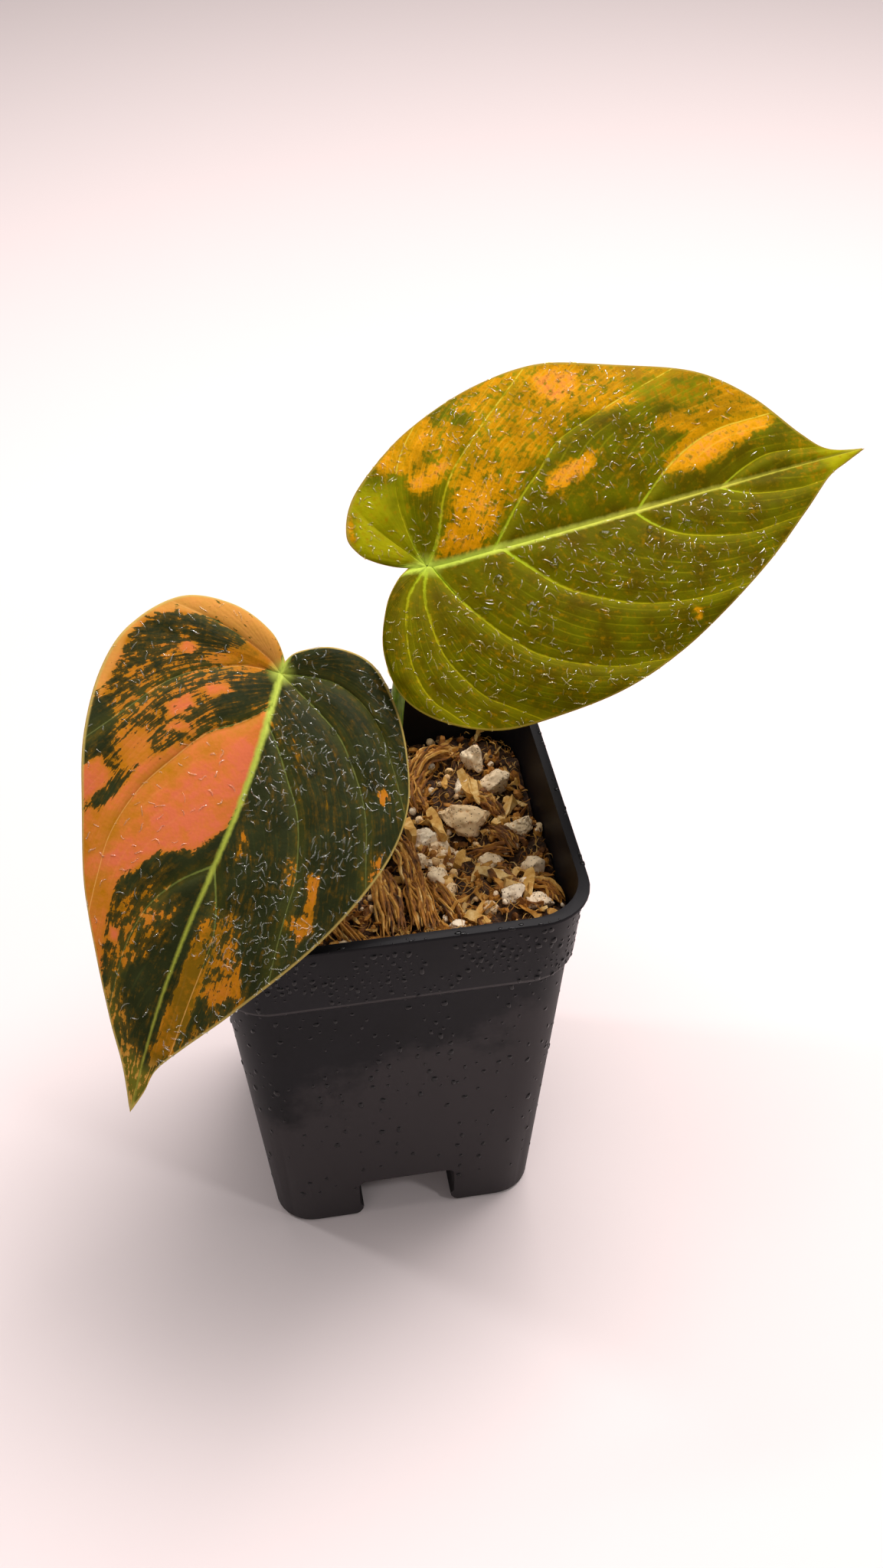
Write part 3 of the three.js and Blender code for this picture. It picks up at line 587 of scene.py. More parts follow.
def splint_shape(chance):
    """A splint of husk skin ten millimetres long: a bar drawn out, narrowed, ragged and curled."""
    bpy.ops.object.select_all(action="DESELECT")
    bpy.ops.mesh.primitive_cube_add(size=MM)
    splint = bpy.context.object
    bpy.ops.object.mode_set(mode="EDIT")
    bpy.ops.transform.resize(value=(10, 2.2, 0.5))
    bpy.ops.mesh.select_mode(type="EDGE")
    bpy.ops.object.mode_set(mode="OBJECT")
    pick_edges(splint, lambda a, b: abs(a.x - b.x) > 5 * MM)
    bpy.ops.object.mode_set(mode="EDIT")
    bpy.ops.mesh.subdivide(number_cuts=6)
    bpy.ops.mesh.select_all(action="SELECT")
    bpy.ops.transform.vertex_random(offset=0.35 * MM, seed=chance.randrange(1000), normal=0.0)
    bpy.ops.object.mode_set(mode="OBJECT")
    for vertex in splint.data.vertices:
        share = vertex.co.x / (5 * MM)
        vertex.co.y *= 1 - 0.7 * max(0, abs(share + 0.2) - 0.3) ** 1.2
    curl = splint.modifiers.new("curl", "SIMPLE_DEFORM")
    curl.deform_method = "BEND"
    curl.deform_axis = "Y"
    curl.angle = chance.uniform(-0.7, 0.7)
    twist = splint.modifiers.new("twist", "SIMPLE_DEFORM")
    twist.deform_method = "TWIST"
    twist.angle = chance.uniform(-0.9, 0.9)
    for step in ("curl", "twist"):
        bpy.ops.object.modifier_apply(modifier=step)
    return take_shape(splint)


splint_shapes = [splint_shape(mix_random) for _ in range(8)]
splints = []
for start, end in SPLINTS:
    lifted = [np.array([x, y, mix_height(x, y) + z]) for x, y, z in (start, end)]
    run = lifted[1] - lifted[0]
    length = float(np.linalg.norm(run))
    points, faces = splint_shapes[mix_random.randrange(8)]
    points = points * np.array([length / 10, 1.15, 1.2])
    heading, pitch = math.atan2(run[1], run[0]), -math.asin(run[2] / length)
    points = turned(points, heading, pitch, mix_random.uniform(-0.5, 0.5)) + (lifted[0] + lifted[1]) / 2
    splints.append((within_wall(points, 0.4), faces, mix_random.uniform(0.72, 0.92)))
for _ in range(SMALL_SPLINTS):
    x, y = mix_random.uniform(-40, 40), mix_random.uniform(-40, 40)
    points, faces = splint_shapes[mix_random.randrange(8)]
    size = mix_random.uniform(0.22, 0.85)
    points = points * np.array([size, mix_random.uniform(0.45, 1.1) * size ** 0.5, 1])
    heading, pitch = mix_random.uniform(0, 6.28), mix_random.uniform(-0.55, 0.55)
    points = turned(points, heading, pitch, mix_random.uniform(-0.8, 0.8))
    if math.hypot(x, y) > 7:
        points = points + np.array([x, y, mix_height(x, y) + mix_random.uniform(0.1, 1.3)])
        splints.append((within_wall(points, 0.4), faces, mix_random.betavariate(2.6, 1.8)))
settle(laid("mix_splints", splints), "mix_splints", husk, "growing_mix", "growing_mix")

fibres = []
for route, width, count in HUSK_BUNDLES:
    middle = smooth_line([(x, y, mix_height(x, y) + z) for x, y, z in route], 12)
    run = middle[-1] - middle[0]
    beside = np.array([-run[1], run[0], 0]) / np.linalg.norm(run[:2])
    for _ in range(count):
        angle, away = mix_random.uniform(0, 2 * math.pi), math.sqrt(mix_random.random())
        raised = np.array([0, 0, abs(math.sin(angle)) * away * width * 0.6])
        place = beside * away * math.cos(angle) * width + raised
        first, last = mix_random.randrange(0, 4), mix_random.randrange(8, 12)
        sway = [np.array([mix_random.gauss(0, 0.45) for _ in range(3)]) for _ in range(5)]
        picks = np.linspace(first, last, 5)
        path = []
        for n, (k, s) in enumerate(zip(picks, sway)):
            on_middle = middle[int(k)] * (1 - k % 1) + middle[min(int(k) + 1, 11)] * (k % 1)
            path.append(on_middle + place * (0.85 + 0.06 * n) + s)
        points, faces = strand(path, mix_random.uniform(0.22, 0.5))
        fibres.append((within_wall(points, 0.4), faces, mix_random.betavariate(2.2, 2.5) * 0.96 + 0.02))
for _ in range(LOOSE_HAIRS):
    x, y = mix_random.uniform(-40, 40), mix_random.uniform(-40, 40)
    if math.hypot(x, y) < 6:
        continue
    heading, reach = mix_random.uniform(0, 2 * math.pi), mix_random.uniform(1.2, 5)
    path = []
    for step in range(4):
        heading += mix_random.uniform(-0.9, 0.9)
        path.append((x, y, mix_height(x, y) + mix_random.uniform(0, 1.9)))
        x, y = x + reach / 3 * math.cos(heading), y + reach / 3 * math.sin(heading)
    points, faces = strand(path, 0.06 + 0.16 * mix_random.random() ** 2, sides=4, count=7)
    fibres.append((within_wall(points, 0.4), faces, mix_random.betavariate(2.6, 1.7)))
settle(laid("mix_husk_fibre", fibres, 60), "mix_husk_fibre", husk, "growing_mix", "growing_mix")

# Crumbs of bark and husk pith between the larger pieces.
crumb_shapes = []
for _ in range(5):
    bpy.ops.object.select_all(action="DESELECT")
    bpy.ops.mesh.primitive_ico_sphere_add(subdivisions=1, radius=MM)
    crumb = bpy.context.object
    bpy.ops.object.mode_set(mode="EDIT")
    bpy.ops.transform.resize(value=(1.2, 0.8, 0.6))
    bpy.ops.mesh.subdivide(number_cuts=1, fractal=0.25, seed=mix_random.randrange(1000))
    bpy.ops.transform.vertex_random(offset=0.14 * MM, seed=mix_random.randrange(1000), normal=0.0)
    bpy.ops.object.mode_set(mode="OBJECT")
    crumb_shapes.append(take_shape(crumb))
crumbs = []
for _ in range(CRUMBS):
    x, y = mix_random.uniform(-41, 41), mix_random.uniform(-41, 41)
    points, faces = crumb_shapes[mix_random.randrange(5)]
    size, heading, pitch = (mix_random.uniform(*reach) for reach in ((0.35, 1.5), (0, 6.28), (0, 3)))
    points = turned(points * size, heading, pitch)
    if math.hypot(x, y) > 5.5:
        points = points + np.array([x, y, mix_height(x, y) + mix_random.uniform(-0.2, 0.9)])
        crumbs.append((within_wall(points, 0.3), faces, mix_random.betavariate(2, 3)))
settle(laid("mix_crumbs", crumbs, 20), "mix_crumbs", husk, "growing_mix", "growing_mix")


# Stem: the green stem of a young climber, with a swollen ring where each leaf stalk leaves it and a blunt
# bud on top. Its foot stands in the mix.
STEM_LEVELS = [(66.6, 3.0), (86, 3.2), (96.9, 3.2), (97.6, 3.45), (98, 3.6), (98.4, 3.45), (99.1, 3.15),
               (103.2, 3.0), (103.8, 3.35), (104.2, 3.5), (104.7, 3.2), (105.4, 2.85), (107.5, 2.5),
               (109.2, 2.0), (110.5, 1.4), (111.4, 0.8), (111.9, 0.3)]


def plant_skin(name, green, lime, blush):
    """Smooth waxy plant skin: fine lengthwise lines, soft flecks of a second colour and a satin sheen."""
    skin, tree = new_finish(name)
    place = add(tree, "TexCoord", out="Object")
    lengthwise = add(tree, "Mapping", {"Vector": place, "Scale": (1, 1, 0.12)})
    lines = add(tree, "TexNoise", {"Vector": lengthwise, "Scale": 1 / (0.5 * MM), "Detail": 3})
    flecks = add(tree, "TexNoise", {"Vector": place, "Scale": 1 / (3 * MM), "Detail": 4})
    body = add(tree, "ValToRGB", {0: lines}, stops=[(0.3, green), (0.62, lime)])
    spread = add(tree, "MapRange", {"Value": flecks, 1: 0.52, 2: 0.75, 3: 0.0, 4: 0.6})
    mixed = add(tree, "Mix", {0: spread, 6: body, 7: linear(blush)}, data_type="RGBA", out=2)
    relief = add(tree, "Bump", {"Height": lines, "Strength": 0.4, "Distance": 0.08 * MM})
    add(tree, "OutputMaterial", {"Surface": add(tree, "BsdfPrincipled", {
        "Base Color": mixed,
        "Roughness": 0.38,
        "Coat Weight": 0.1,
        "Coat Roughness": 0.2,
        "Normal": relief,
    })})
    return skin


stem_skin = plant_skin("stem_epidermis", "4f6b22", "7d9838", "8a6a3a")
bpy.ops.object.select_all(action="DESELECT")
bpy.ops.mesh.primitive_circle_add(vertices=32, radius=1.6 * MM, fill_type="NGON", location=spot(0, 0, 66))
bpy.ops.object.mode_set(mode="EDIT")
stem = draw_up(1.6, 66, STEM_LEVELS)
bpy.ops.object.shade_smooth_by_angle(angle=math.radians(60))
settle(stem, "vine_stem", stem_skin, "green_stem", "stem")


# Leaf stalks: round juicy stalks that rise from the stem's rings, thicken where they clasp it, and end in
# a swollen knee under the leaf that turns the blade to the light.
STALKS = {
    "lower": [(-4.0, 0.7, 103.2), (-6.4, 1.2, 103.9), (-9, 2.3, 108), (-14.5, 6, 125), (-18.5, 9.3, 140),
              (-19.4, 8.6, 149.2), (-19.55, 5.0, 153.3)],
    "upper": [(1.8, 2.3, 107.4), (3.7, 4.8, 108.1), (5.0, 7.2, 112.5), (6.3, 9.4, 124), (7.5, 11, 136),
              (10.6, 15, 150), (14.2, 20.5, 160.5), (15.5, 21.6, 164.2), (16.0, 18.95, 168.2)],
}
STALK_RADIUS = 1.85


def stalk(points):
    """A round stalk drawn along a curve, swollen at its foot and at its knee."""
    route = smooth_line(points, 40)
    line = bpy.data.curves.new("stalk_line", "CURVE")
    line.dimensions = "3D"
    line.bevel_depth = STALK_RADIUS * MM
    line.bevel_resolution = 6
    line.use_fill_caps = True
    spline = line.splines.new("POLY")
    spline.points.add(len(route) - 1)
    for k, place in enumerate(route):
        share = k / (len(route) - 1)
        spline.points[k].co = (*spot(*place), 1)
        foot = 0.35 * math.exp(-(share / 0.07) ** 2)
        knee = 0.16 * math.exp(-((share - 0.93) / 0.06) ** 2)
        spline.points[k].radius = 1 - 0.12 * share + foot + knee
    made = bpy.data.objects.new("stalk", line)
    bpy.context.collection.objects.link(made)
    pick_up(made)
    bpy.ops.object.convert(target="MESH")
    made = bpy.context.object
    bpy.ops.object.mode_set(mode="EDIT")
    bpy.ops.mesh.select_all(action="SELECT")
    bpy.ops.mesh.remove_doubles(threshold=0.01 * MM)
    bpy.ops.mesh.normals_make_consistent(inside=False)
    bpy.ops.object.mode_set(mode="OBJECT")
    bpy.ops.object.shade_smooth_by_angle(angle=math.radians(50))
    return made


stalk_skin = plant_skin("stalk_epidermis", "5c7a04", "86a810", "a8a62a")
for name, points in STALKS.items():
    settle(stalk(points), f"leaf_stalk_{name}", stalk_skin, "leaf_stalk", f"petiole_{name}")


# Leaf blades: thin velvety hearts, wet from the mister. Side veins fan out from the stalk and sink into
# the quilted face, and each leaf is a patchwork of green tissue and of pale tissue without chlorophyll.

# A blade is rolled about its midrib in degrees, sways and bows along it, folds up from its crease and
# curls down at its sides. Margins run from the notch behind the stalk to the tip, and veins from the
# midrib out, in millimetres along and across the midrib.
LOWER_BLADE = {
    "hub": (-19.6, 3.5, 155),
    "tip": (-63.6, -64.5, 93),
    "roll": 20,
    "sway": (0, 1.3),
    "bow": 6,
    "crease": 0.16,
    "curl": 0.0038,
    "margins": [
        [(-3, 0), (-6, 2.5), (-9, 10), (-8, 19), (-1, 26.5), (9, 32.5), (20.5, 36.5), (33, 36), (46.5, 31.5),
         (60, 24.5), (75, 14.5), (86, 6.3), (92, 2.4), (97, 1.5)],
        [(-3, 0), (-8, -5), (-11, -15), (-9, -26.5), (1, -35), (13, -37.7), (27, -36), (42, -31.2), (58, -25),
         (72, -17.6), (84, -10.5), (93, -4.6)],
    ],
    "veins": [
        [[(0, 0), (-1, 6), (-1.3, 12.5), (1, 19), (6, 25), (13.5, 30)],
         [(0, 0), (6, 10), (10.5, 16.5), (16.5, 21.5), (23, 26), (30.5, 29.5), (38, 31)],
         [(12, 0), (17, 4), (23, 8), (29.5, 12.5), (36.5, 15.5), (45.5, 18), (54.5, 18)],
         [(46, 0), (56, 4.5), (64, 6), (80, 5)]],
        [[(0, 0), (-2, -3), (-4, -8.5), (-6, -16.5), (-6.5, -22.5)],
         [(0, 0), (1, -7), (3.5, -13), (8, -20.5), (14, -26), (20, -29)],
         [(8, 0), (14, -5.5), (19, -12), (27, -17), (35, -21), (44, -23), (52, -23), (61, -21)],
         [(46, 0), (52, -6), (59.5, -10), (69.5, -11.5), (77.5, -11)]],
    ],
}
UPPER_BLADE = {
    "hub": (16.2, 17.7, 170),
    "tip": (127.4, 41.5, 173.4),
    "roll": -35,
    "sway": (-1.75, 0),
    "bow": 3,
    "crease": 0.14,
    "curl": 0.0034,
    "margins": [
        [(-4, 0.6), (-8, 1.7), (-12, 3.6), (-15, 6.2), (-16.2, 11), (-12, 19), (-2, 27), (9, 33), (23, 38),
         (38, 39.2), (53, 36.6), (67, 32), (80, 26), (90, 18), (98, 7), (104, 1.7)],
        [(-4, 0.8), (-8, -2), (-13, -8), (-17, -18), (-16, -29), (-9, -37), (3, -42), (18, -42.5),
         (33, -41.5), (48, -37), (63, -30), (78, -21.5), (91, -12.5), (101, -5.2), (107.5, -2.4)],
    ],
    "veins": [
        [[(0, 0), (-3.5, 4), (-8, 9), (-11, 13.5), (-12, 17)],
         [(0, 0), (-1.6, 5), (-2.4, 13), (-1.5, 19.5), (1, 25), (5, 30), (10, 34)],
         [(0, 0), (4.5, 6.5), (7.5, 13.5), (12, 20), (19, 26), (24, 30), (31.5, 35)],
         [(15, 0), (25, 10), (32, 15.5), (38, 20.5), (48.5, 24), (60, 27), (67.5, 27.5)],
         [(51, 0), (55.5, 3.5), (63, 8.5), (71.5, 12), (80.5, 13.5), (88, 13)],
         [(73, 0), (80.5, 3), (88, 4.5), (96, 3.5)]],
        [[(0, 0), (-7, -6.5), (-10.5, -14.5), (-12, -23.5), (-10, -32), (-3.5, -38.5)],
         [(0, 0), (-3.5, -7.5), (-4.5, -14.5), (-4.2, -22), (-1.5, -28.5), (3, -34.5), (10, -38.5)],
         [(1, 0), (4, -10), (7.5, -16.5), (12, -22.5), (17, -27.5), (26, -32.5), (36, -36), (47, -36.5)],
         [(17, 0), (26, -12), (32.5, -17), (42, -22), (53, -25), (65, -26), (74.5, -24)],
         [(50, 0), (54, -5), (59.5, -9), (68, -12), (76, -13.5), (86, -13)],
         [(72, 0), (80.5, -4), (92, -6), (99, -5.5)]],
    ],
}

# Patches of tissue, painted one over the other: how much of it is pale, how pink the pale is, how light
# the green is, how soft the edge is in millimetres, and its outline.
LOWER_GROUND = (0.06, 0.25, 0.12)
UPPER_GROUND = (0.02, 0.2, 0.25)
LOWER_PATCHES = [
    (0.42, 0.4, 0.15, 5.1, [(1, -2), (-4, -17), (-1, -33), (17, -35), (36, -33), (42, -28), (25, -18),
        (14, -5)]),
    (0.92, 0.6, 0.8, 3, [(0, 1), (-9, -4), (-13, -12), (-13, -24), (-4, -37), (17, -40), (27, -37),
        (17, -35.5), (4, -34), (-1, -31), (-5, -26), (-6, -17), (-5, -12), (-1, -4)]),
    (0.24, 0.3, 0.05, 3.4, [(5, -34.5), (-2, -32), (-5, -26), (-6, -18), (-3, -11), (0, -13), (2, -24),
        (7, -31)]),
    (0.9, 0.3, 0.2, 2.5, [(3, -15), (-4, -9), (-2, -3), (1, -4), (3, -11)]),
    (0.08, 0.2, 0.05, 3.4, [(2, -2), (3, -5), (8, -10), (12, -12), (16, -10), (13, -4), (7, -1)]),
    (0.08, 0.2, 0.1, 3.4, [(37, -32), (27, -36), (18, -37), (22, -31), (29, -30), (35, -30)]),
    (0.85, 0.4, 0.2, 3.4, [(26, -29), (22, -24), (29, -21), (33, -26)]),
    (0.95, 0.85, 0.2, 2, [(9, -15), (7, -11), (8, -9), (11, -14)]),
    (0.95, 0.8, 0.2, 2, [(16, -22), (12, -18), (14, -16), (18, -20)]),
    (0.9, 0.7, 0.2, 2, [(20, -21), (18, -16), (20, -15), (21, -20)]),
    (0.9, 0.85, 0.2, 2, [(3, -23), (0, -22), (1, -19), (3, -20)]),
    (1.0, 0.9, 0.2, 2.4, [(10, 0), (14, -5), (20, -12), (25, -18), (31, -23), (38, -25), (43, -30),
        (52, -31), (70, -22), (82, -14), (68, -17), (58, -18), (55, -18), (53, -16), (50, -14), (47, -12),
        (46, -8), (44, -5), (38, -1), (33, 0)]),
    (0.95, 0.85, 0.2, 2.5, [(38, -36), (31, -31), (34, -28), (38, -28), (44, -32)]),
    (0.15, 0.3, 0.1, 2.5, [(43, -30), (39, -29), (35, -26), (34, -24), (38, -25), (43, -27)]),
    (1.0, 0.46, 0.2, 6, [(7, 0), (14, -4), (20, -11), (25, -16), (31, -20), (37, -22), (45, -29),
        (52, -32), (54, -26), (47, -21), (39, -18), (30, -14), (22, -9), (17, -4), (12, 0)]),
    (1.0, 0.5, 0.2, 5.1, [(57, -30), (53, -18), (59, -18), (67, -17), (82, -14), (70, -24)]),
    (0.45, 0.35, 0.2, 5.1, [(59, -17), (53, -13), (54, -6), (60, -4), (70, -7), (76, -12), (72, -16)]),
    (0.48, 0.2, 0.6, 6.8, [(78, -17), (75, -12), (83, -6), (91, -1), (97, -2), (87, -10)]),
    (0.95, 1.0, 0.2, 1.4, [(65.5, -16.2), (65.5, -14), (68, -13.8), (68.2, -15.5)]),
    (0.7, 0.4, 0.2, 2, [(20, 28), (18, 29), (20, 32), (22, 30)]),
    (0.85, 0.4, 0.2, 2.5, [(42, 20.4), (41.5, 22.4), (47, 23.8), (54, 24.8), (57, 23), (55, 21.4),
        (50, 22)]),
    (0.7, 0.45, 0.2, 2.5, [(53, 18), (51, 21), (53, 23), (56, 21)]),
    (0.65, 0.2, 0.2, 2.5, [(40, 14), (40, 16), (46, 18.5), (46, 16)]),
    (0.55, 0.3, 0.2, 2.5, [(38, 2), (37, 4.5), (43, 6.5), (44, 4)]),
    (0.5, 0.18, 0.2, 3.4, [(56, 1), (54, 9), (58, 11), (67, 14), (71, 14.5), (76, 11), (74, 7), (68, 3)]),
    (0.72, 0.25, 0.2, 3.4, [(72, 9), (66, 13), (70, 15), (76, 10)]),
    (1.0, 0.02, 0.2, 2, [(64, 2.5), (67, 5), (72, 6.5), (79, 6.2), (86, 4.6), (92, 2), (92, 1), (81, 1.8),
        (72, 2.4)]),
    (0.45, 0.2, 0.4, 3.4, [(71, 17), (75, 11), (80, 7.5), (88, 4.5), (93, 2), (86, 8), (77, 15)]),
    (0.45, 0.5, 0.2, 3.4, [(40, 33), (34, 31), (32, 34), (38, 37)]),
    (0.28, 0.1, 0.3, 6.8, [(12, 2), (16, 11), (29, 22), (31, 20), (21, 9)]),
    (0.4, 0.1, 1.0, 6.8, [(91, -8), (91, 5), (106, 1)]),
]
UPPER_PATCHES = [
    (0.08, 0.2, 0.9, 13.6, [(-20, 0), (-20, 25), (-2, 19), (-2, 3)]),
    (0.58, 0.35, 0.6, 5.1, [(11, 30), (25, 42), (45, 42), (68, 35), (64, 26), (57, 24), (45, 25),
        (38, 20), (29, 15), (22, 8), (22, 19), (17, 20), (11, 17), (7, 22)]),
    (0.84, 0.4, 0.5, 4, [(-6, 26), (4, 35), (12, 36), (11, 29), (6, 24), (1, 20), (-3, 21)]),
    (0.8, 0.62, 0.5, 3.4, [(1, 20), (8, 23), (12, 22), (7, 17), (3, 16), (0, 18)]),
    (0.7, 0.5, 0.5, 4, [(2, 1), (7, 10), (11, 17), (17, 20), (22, 19), (22, 13), (19, 6), (14, 1),
        (9, 0.5)]),
    (0.8, 0.78, 0.5, 4, [(38, 36), (44, 37), (49, 35), (46, 30), (41, 29), (38, 31)]),
    (0.9, 0.35, 0.5, 2.5, [(45, 25), (52, 28), (60, 27), (60, 24), (51, 24.5)]),
    (0.12, 0.1, 0.35, 4.2, [(42, 16), (46, 17), (57, 23), (63, 23), (65, 16), (64, 12), (61, 7), (55, 3),
        (51, 0.5), (37, 2), (24, 1), (31, 5), (39, 9)]),
    (0.78, 0.66, 0.5, 3.4, [(31, 12), (37, 15), (46, 16), (44, 12), (39, 10), (35, 8), (31, 9)]),
    (0.0, 0.1, 0.15, 2.5, [(42, 22), (48, 24), (51, 22), (45, 19), (42, 20)]),
    (0.08, 0.1, 0.3, 2.5, [(16, 34), (21, 32), (19, 29), (16, 30)]),
    (0.05, 0.1, 0.6, 2.5, [(-2, 22), (1, 21), (-1, 13), (-4, 13)]),
    (0.42, 0.1, 0.6, 5, [(59, 31), (67, 30), (84, 25), (80, 20), (71, 20), (63, 23), (59, 25)]),
    (0.75, 0.15, 0.7, 2.5, [(48, 41), (66, 36), (84, 27), (74, 27), (59, 31.5)]),
    (0.7, 0.35, 0.6, 2.5, [(64, 11), (69, 14), (61, 17), (63, 19), (71, 20), (72, 13)]),
    (0.68, 0.3, 0.5, 4, [(81, 26), (90, 20), (94, 13), (91, 11), (79, 8), (69, 5), (61, 7), (64, 11),
        (71, 13.5), (71, 19), (79, 20)]),
    (0.84, 0.55, 0.5, 3.4, [(60.5, 6.5), (62, 10), (71, 13), (81, 14), (91, 13), (90, 11), (79, 8),
        (69, 5.5)]),
    (0.3, 0.05, 0.55, 6.8, [(94, 8), (103, 5), (103, -3), (96, -9), (93, -2)]),
    (0.05, 0.1, 1.0, 5, [(101, 8), (101, -8), (116, 0)]),
    (0.7, 0.6, 0.5, 1.6, [(54.5, -27.5), (56.5, -28), (56, -31), (54.5, -30.5)]),
    (0.6, 0.3, 0.6, 2, [(-17, 16), (-13, 15), (-14, 9), (-18, 9)]),
]
LEAF_THICKNESS = 0.8
MARGIN_THICKNESS = 0.36
ROWS = 72
SIDE_VEIN_SPACING = 3.3
COLUMNS_PER_VEIN = 4
QUILT_HEIGHT = 0.9
QUILT_REACH = 5.5


def blade_axes(blade):
    """Where a blade starts and its axes: along the midrib, across it, and out of its upper face."""
    hub, tip = np.array(blade["hub"], float), np.array(blade["tip"], float)
    length = np.linalg.norm(tip - hub)
    along = (tip - hub) / length
    level = np.cross((0, 0, 1), along)
    level /= np.linalg.norm(level)
    roll = math.radians(blade["roll"])
    out = math.cos(roll) * np.cross(along, level) + math.sin(roll) * level
    return hub, along, np.cross(out, along), out, length


def run_out(vein, margin):
    """A vein drawn straight on from its end to the margin, and how far round the margin it arrives."""
    line = smooth_line(vein, 40)[:35]
    end, way = line[-1], line[-1] - line[-4]
    starts, runs = margin[:-1], np.diff(margin, axis=0)
    gap = starts - end
    turned = way[0] * runs[:, 1] - way[1] * runs[:, 0]
    ahead = (gap[:, 0] * runs[:, 1] - gap[:, 1] * runs[:, 0]) / turned
    along = (gap[:, 0] * way[1] - gap[:, 1] * way[0]) / turned
    ahead[(ahead < 0) | (along < 0) | (along > 1)] = np.inf
    k = int(np.argmin(ahead))
    return np.vstack([line, end + ahead[k] * way]), k + along[k]


def distance_to_lines(flat, lines):
    """Distance from each flat spot to the nearest of some lines."""
    nearest = np.full(len(flat), np.inf)
    for line in lines:
        for a, b in zip(line, line[1:]):
            run = b - a
            share = np.clip((flat - a) @ run / max(run @ run, 1e-9), 0, 1)
            nearest = np.minimum(nearest, np.linalg.norm(flat - a - share[:, None] * run, axis=1))
    return nearest


def blade_grid(blade, side, length):
    """The grid of one side of a blade, laid between its veins: flat spots, shares out to the margin, places
    counted in fine side veins, distances left to the margin and gaps between fine side veins, and the
    veins it was laid by."""
    margin = smooth_line(blade["margins"][side] + [(length, 0)], 1200)
    around = margin[:, 0] + 1j * margin[:, 1]
    guides, ends = [], []
    for vein in blade["veins"][side]:
        guide, arrives = run_out(vein, margin)
        guides.append(evenly(guide, ROWS + 1))
        ends.append(arrives)
    t = np.linspace(0, 1, ROWS + 1)
    feet = [0.0] + [guide[0, 0] for guide in guides] + [length]
    bends = [guide[:, 0] + 1j * guide[:, 1] for guide in guides]
    bends = [t] + [(bend - bend[0]) / (bend[-1] - bend[0]) for bend in bends] + [t]
    ends = [0.0] + ends + [len(margin) - 1.0]
    lines, fan = [], []
    counted = 0
    for k in range(len(ends) - 1):
        width = (ends[k + 1] - ends[k]) / len(margin) * np.abs(np.diff(around)).sum()
        veins = max(1, round(width / SIDE_VEIN_SPACING))
        columns = veins * COLUMNS_PER_VEIN
        for c in range(0 if counted == 0 else 1, columns + 1):
            f = c / columns
            foot = (1 - f) * feet[k] + f * feet[k + 1]
            edge = np.interp(ends[k] + f * (ends[k + 1] - ends[k]), np.arange(len(margin)), around)
            lines.append(foot + (edge - foot) * ((1 - f) * bends[k] + f * bends[k + 1]))
            fan.append(np.full(ROWS + 1, counted + f * veins))
        counted += veins
    lines = np.array(lines)
    steps = np.abs(np.diff(lines, axis=1))
    left = np.cumsum(steps[:, ::-1], axis=1)[:, ::-1]
    left = np.column_stack([left, np.zeros(len(left))])
    gaps = np.abs(np.gradient(lines, axis=0)) * COLUMNS_PER_VEIN
    flat = np.stack([lines.real, lines.imag], axis=-1)
    return flat, np.tile(t, (len(lines), 1)), np.array(fan), left, gaps, guides


def patch_cover(flat, ground, patches):
    """How pale, how pink and how light green each flat spot is, with every patch painted over the last."""
    cover = np.tile(np.array(ground, float), (len(flat), 1))
    for pale, pink, lime, soft, outline in patches:
        ring = np.array(outline + outline[:1], float)
        inside = np.zeros(len(flat), bool)
        for (x0, y0), (x1, y1) in zip(ring, ring[1:]):
            crosses = (y0 > flat[:, 1]) != (y1 > flat[:, 1])
            reach = x0 + (flat[:, 1] - y0) * (x1 - x0) / (y1 - y0 if y1 != y0 else 1e-9)
            inside ^= crosses & (flat[:, 0] < reach)
        away = distance_to_lines(flat, [ring]) * np.where(inside, 1, -1)
        paint = np.clip(away / soft + 0.5, 0, 1)[:, None]
        paint = paint * paint * (3 - 2 * paint)
        cover = cover * (1 - paint) + paint * np.array([pale, pink, lime])
    return cover


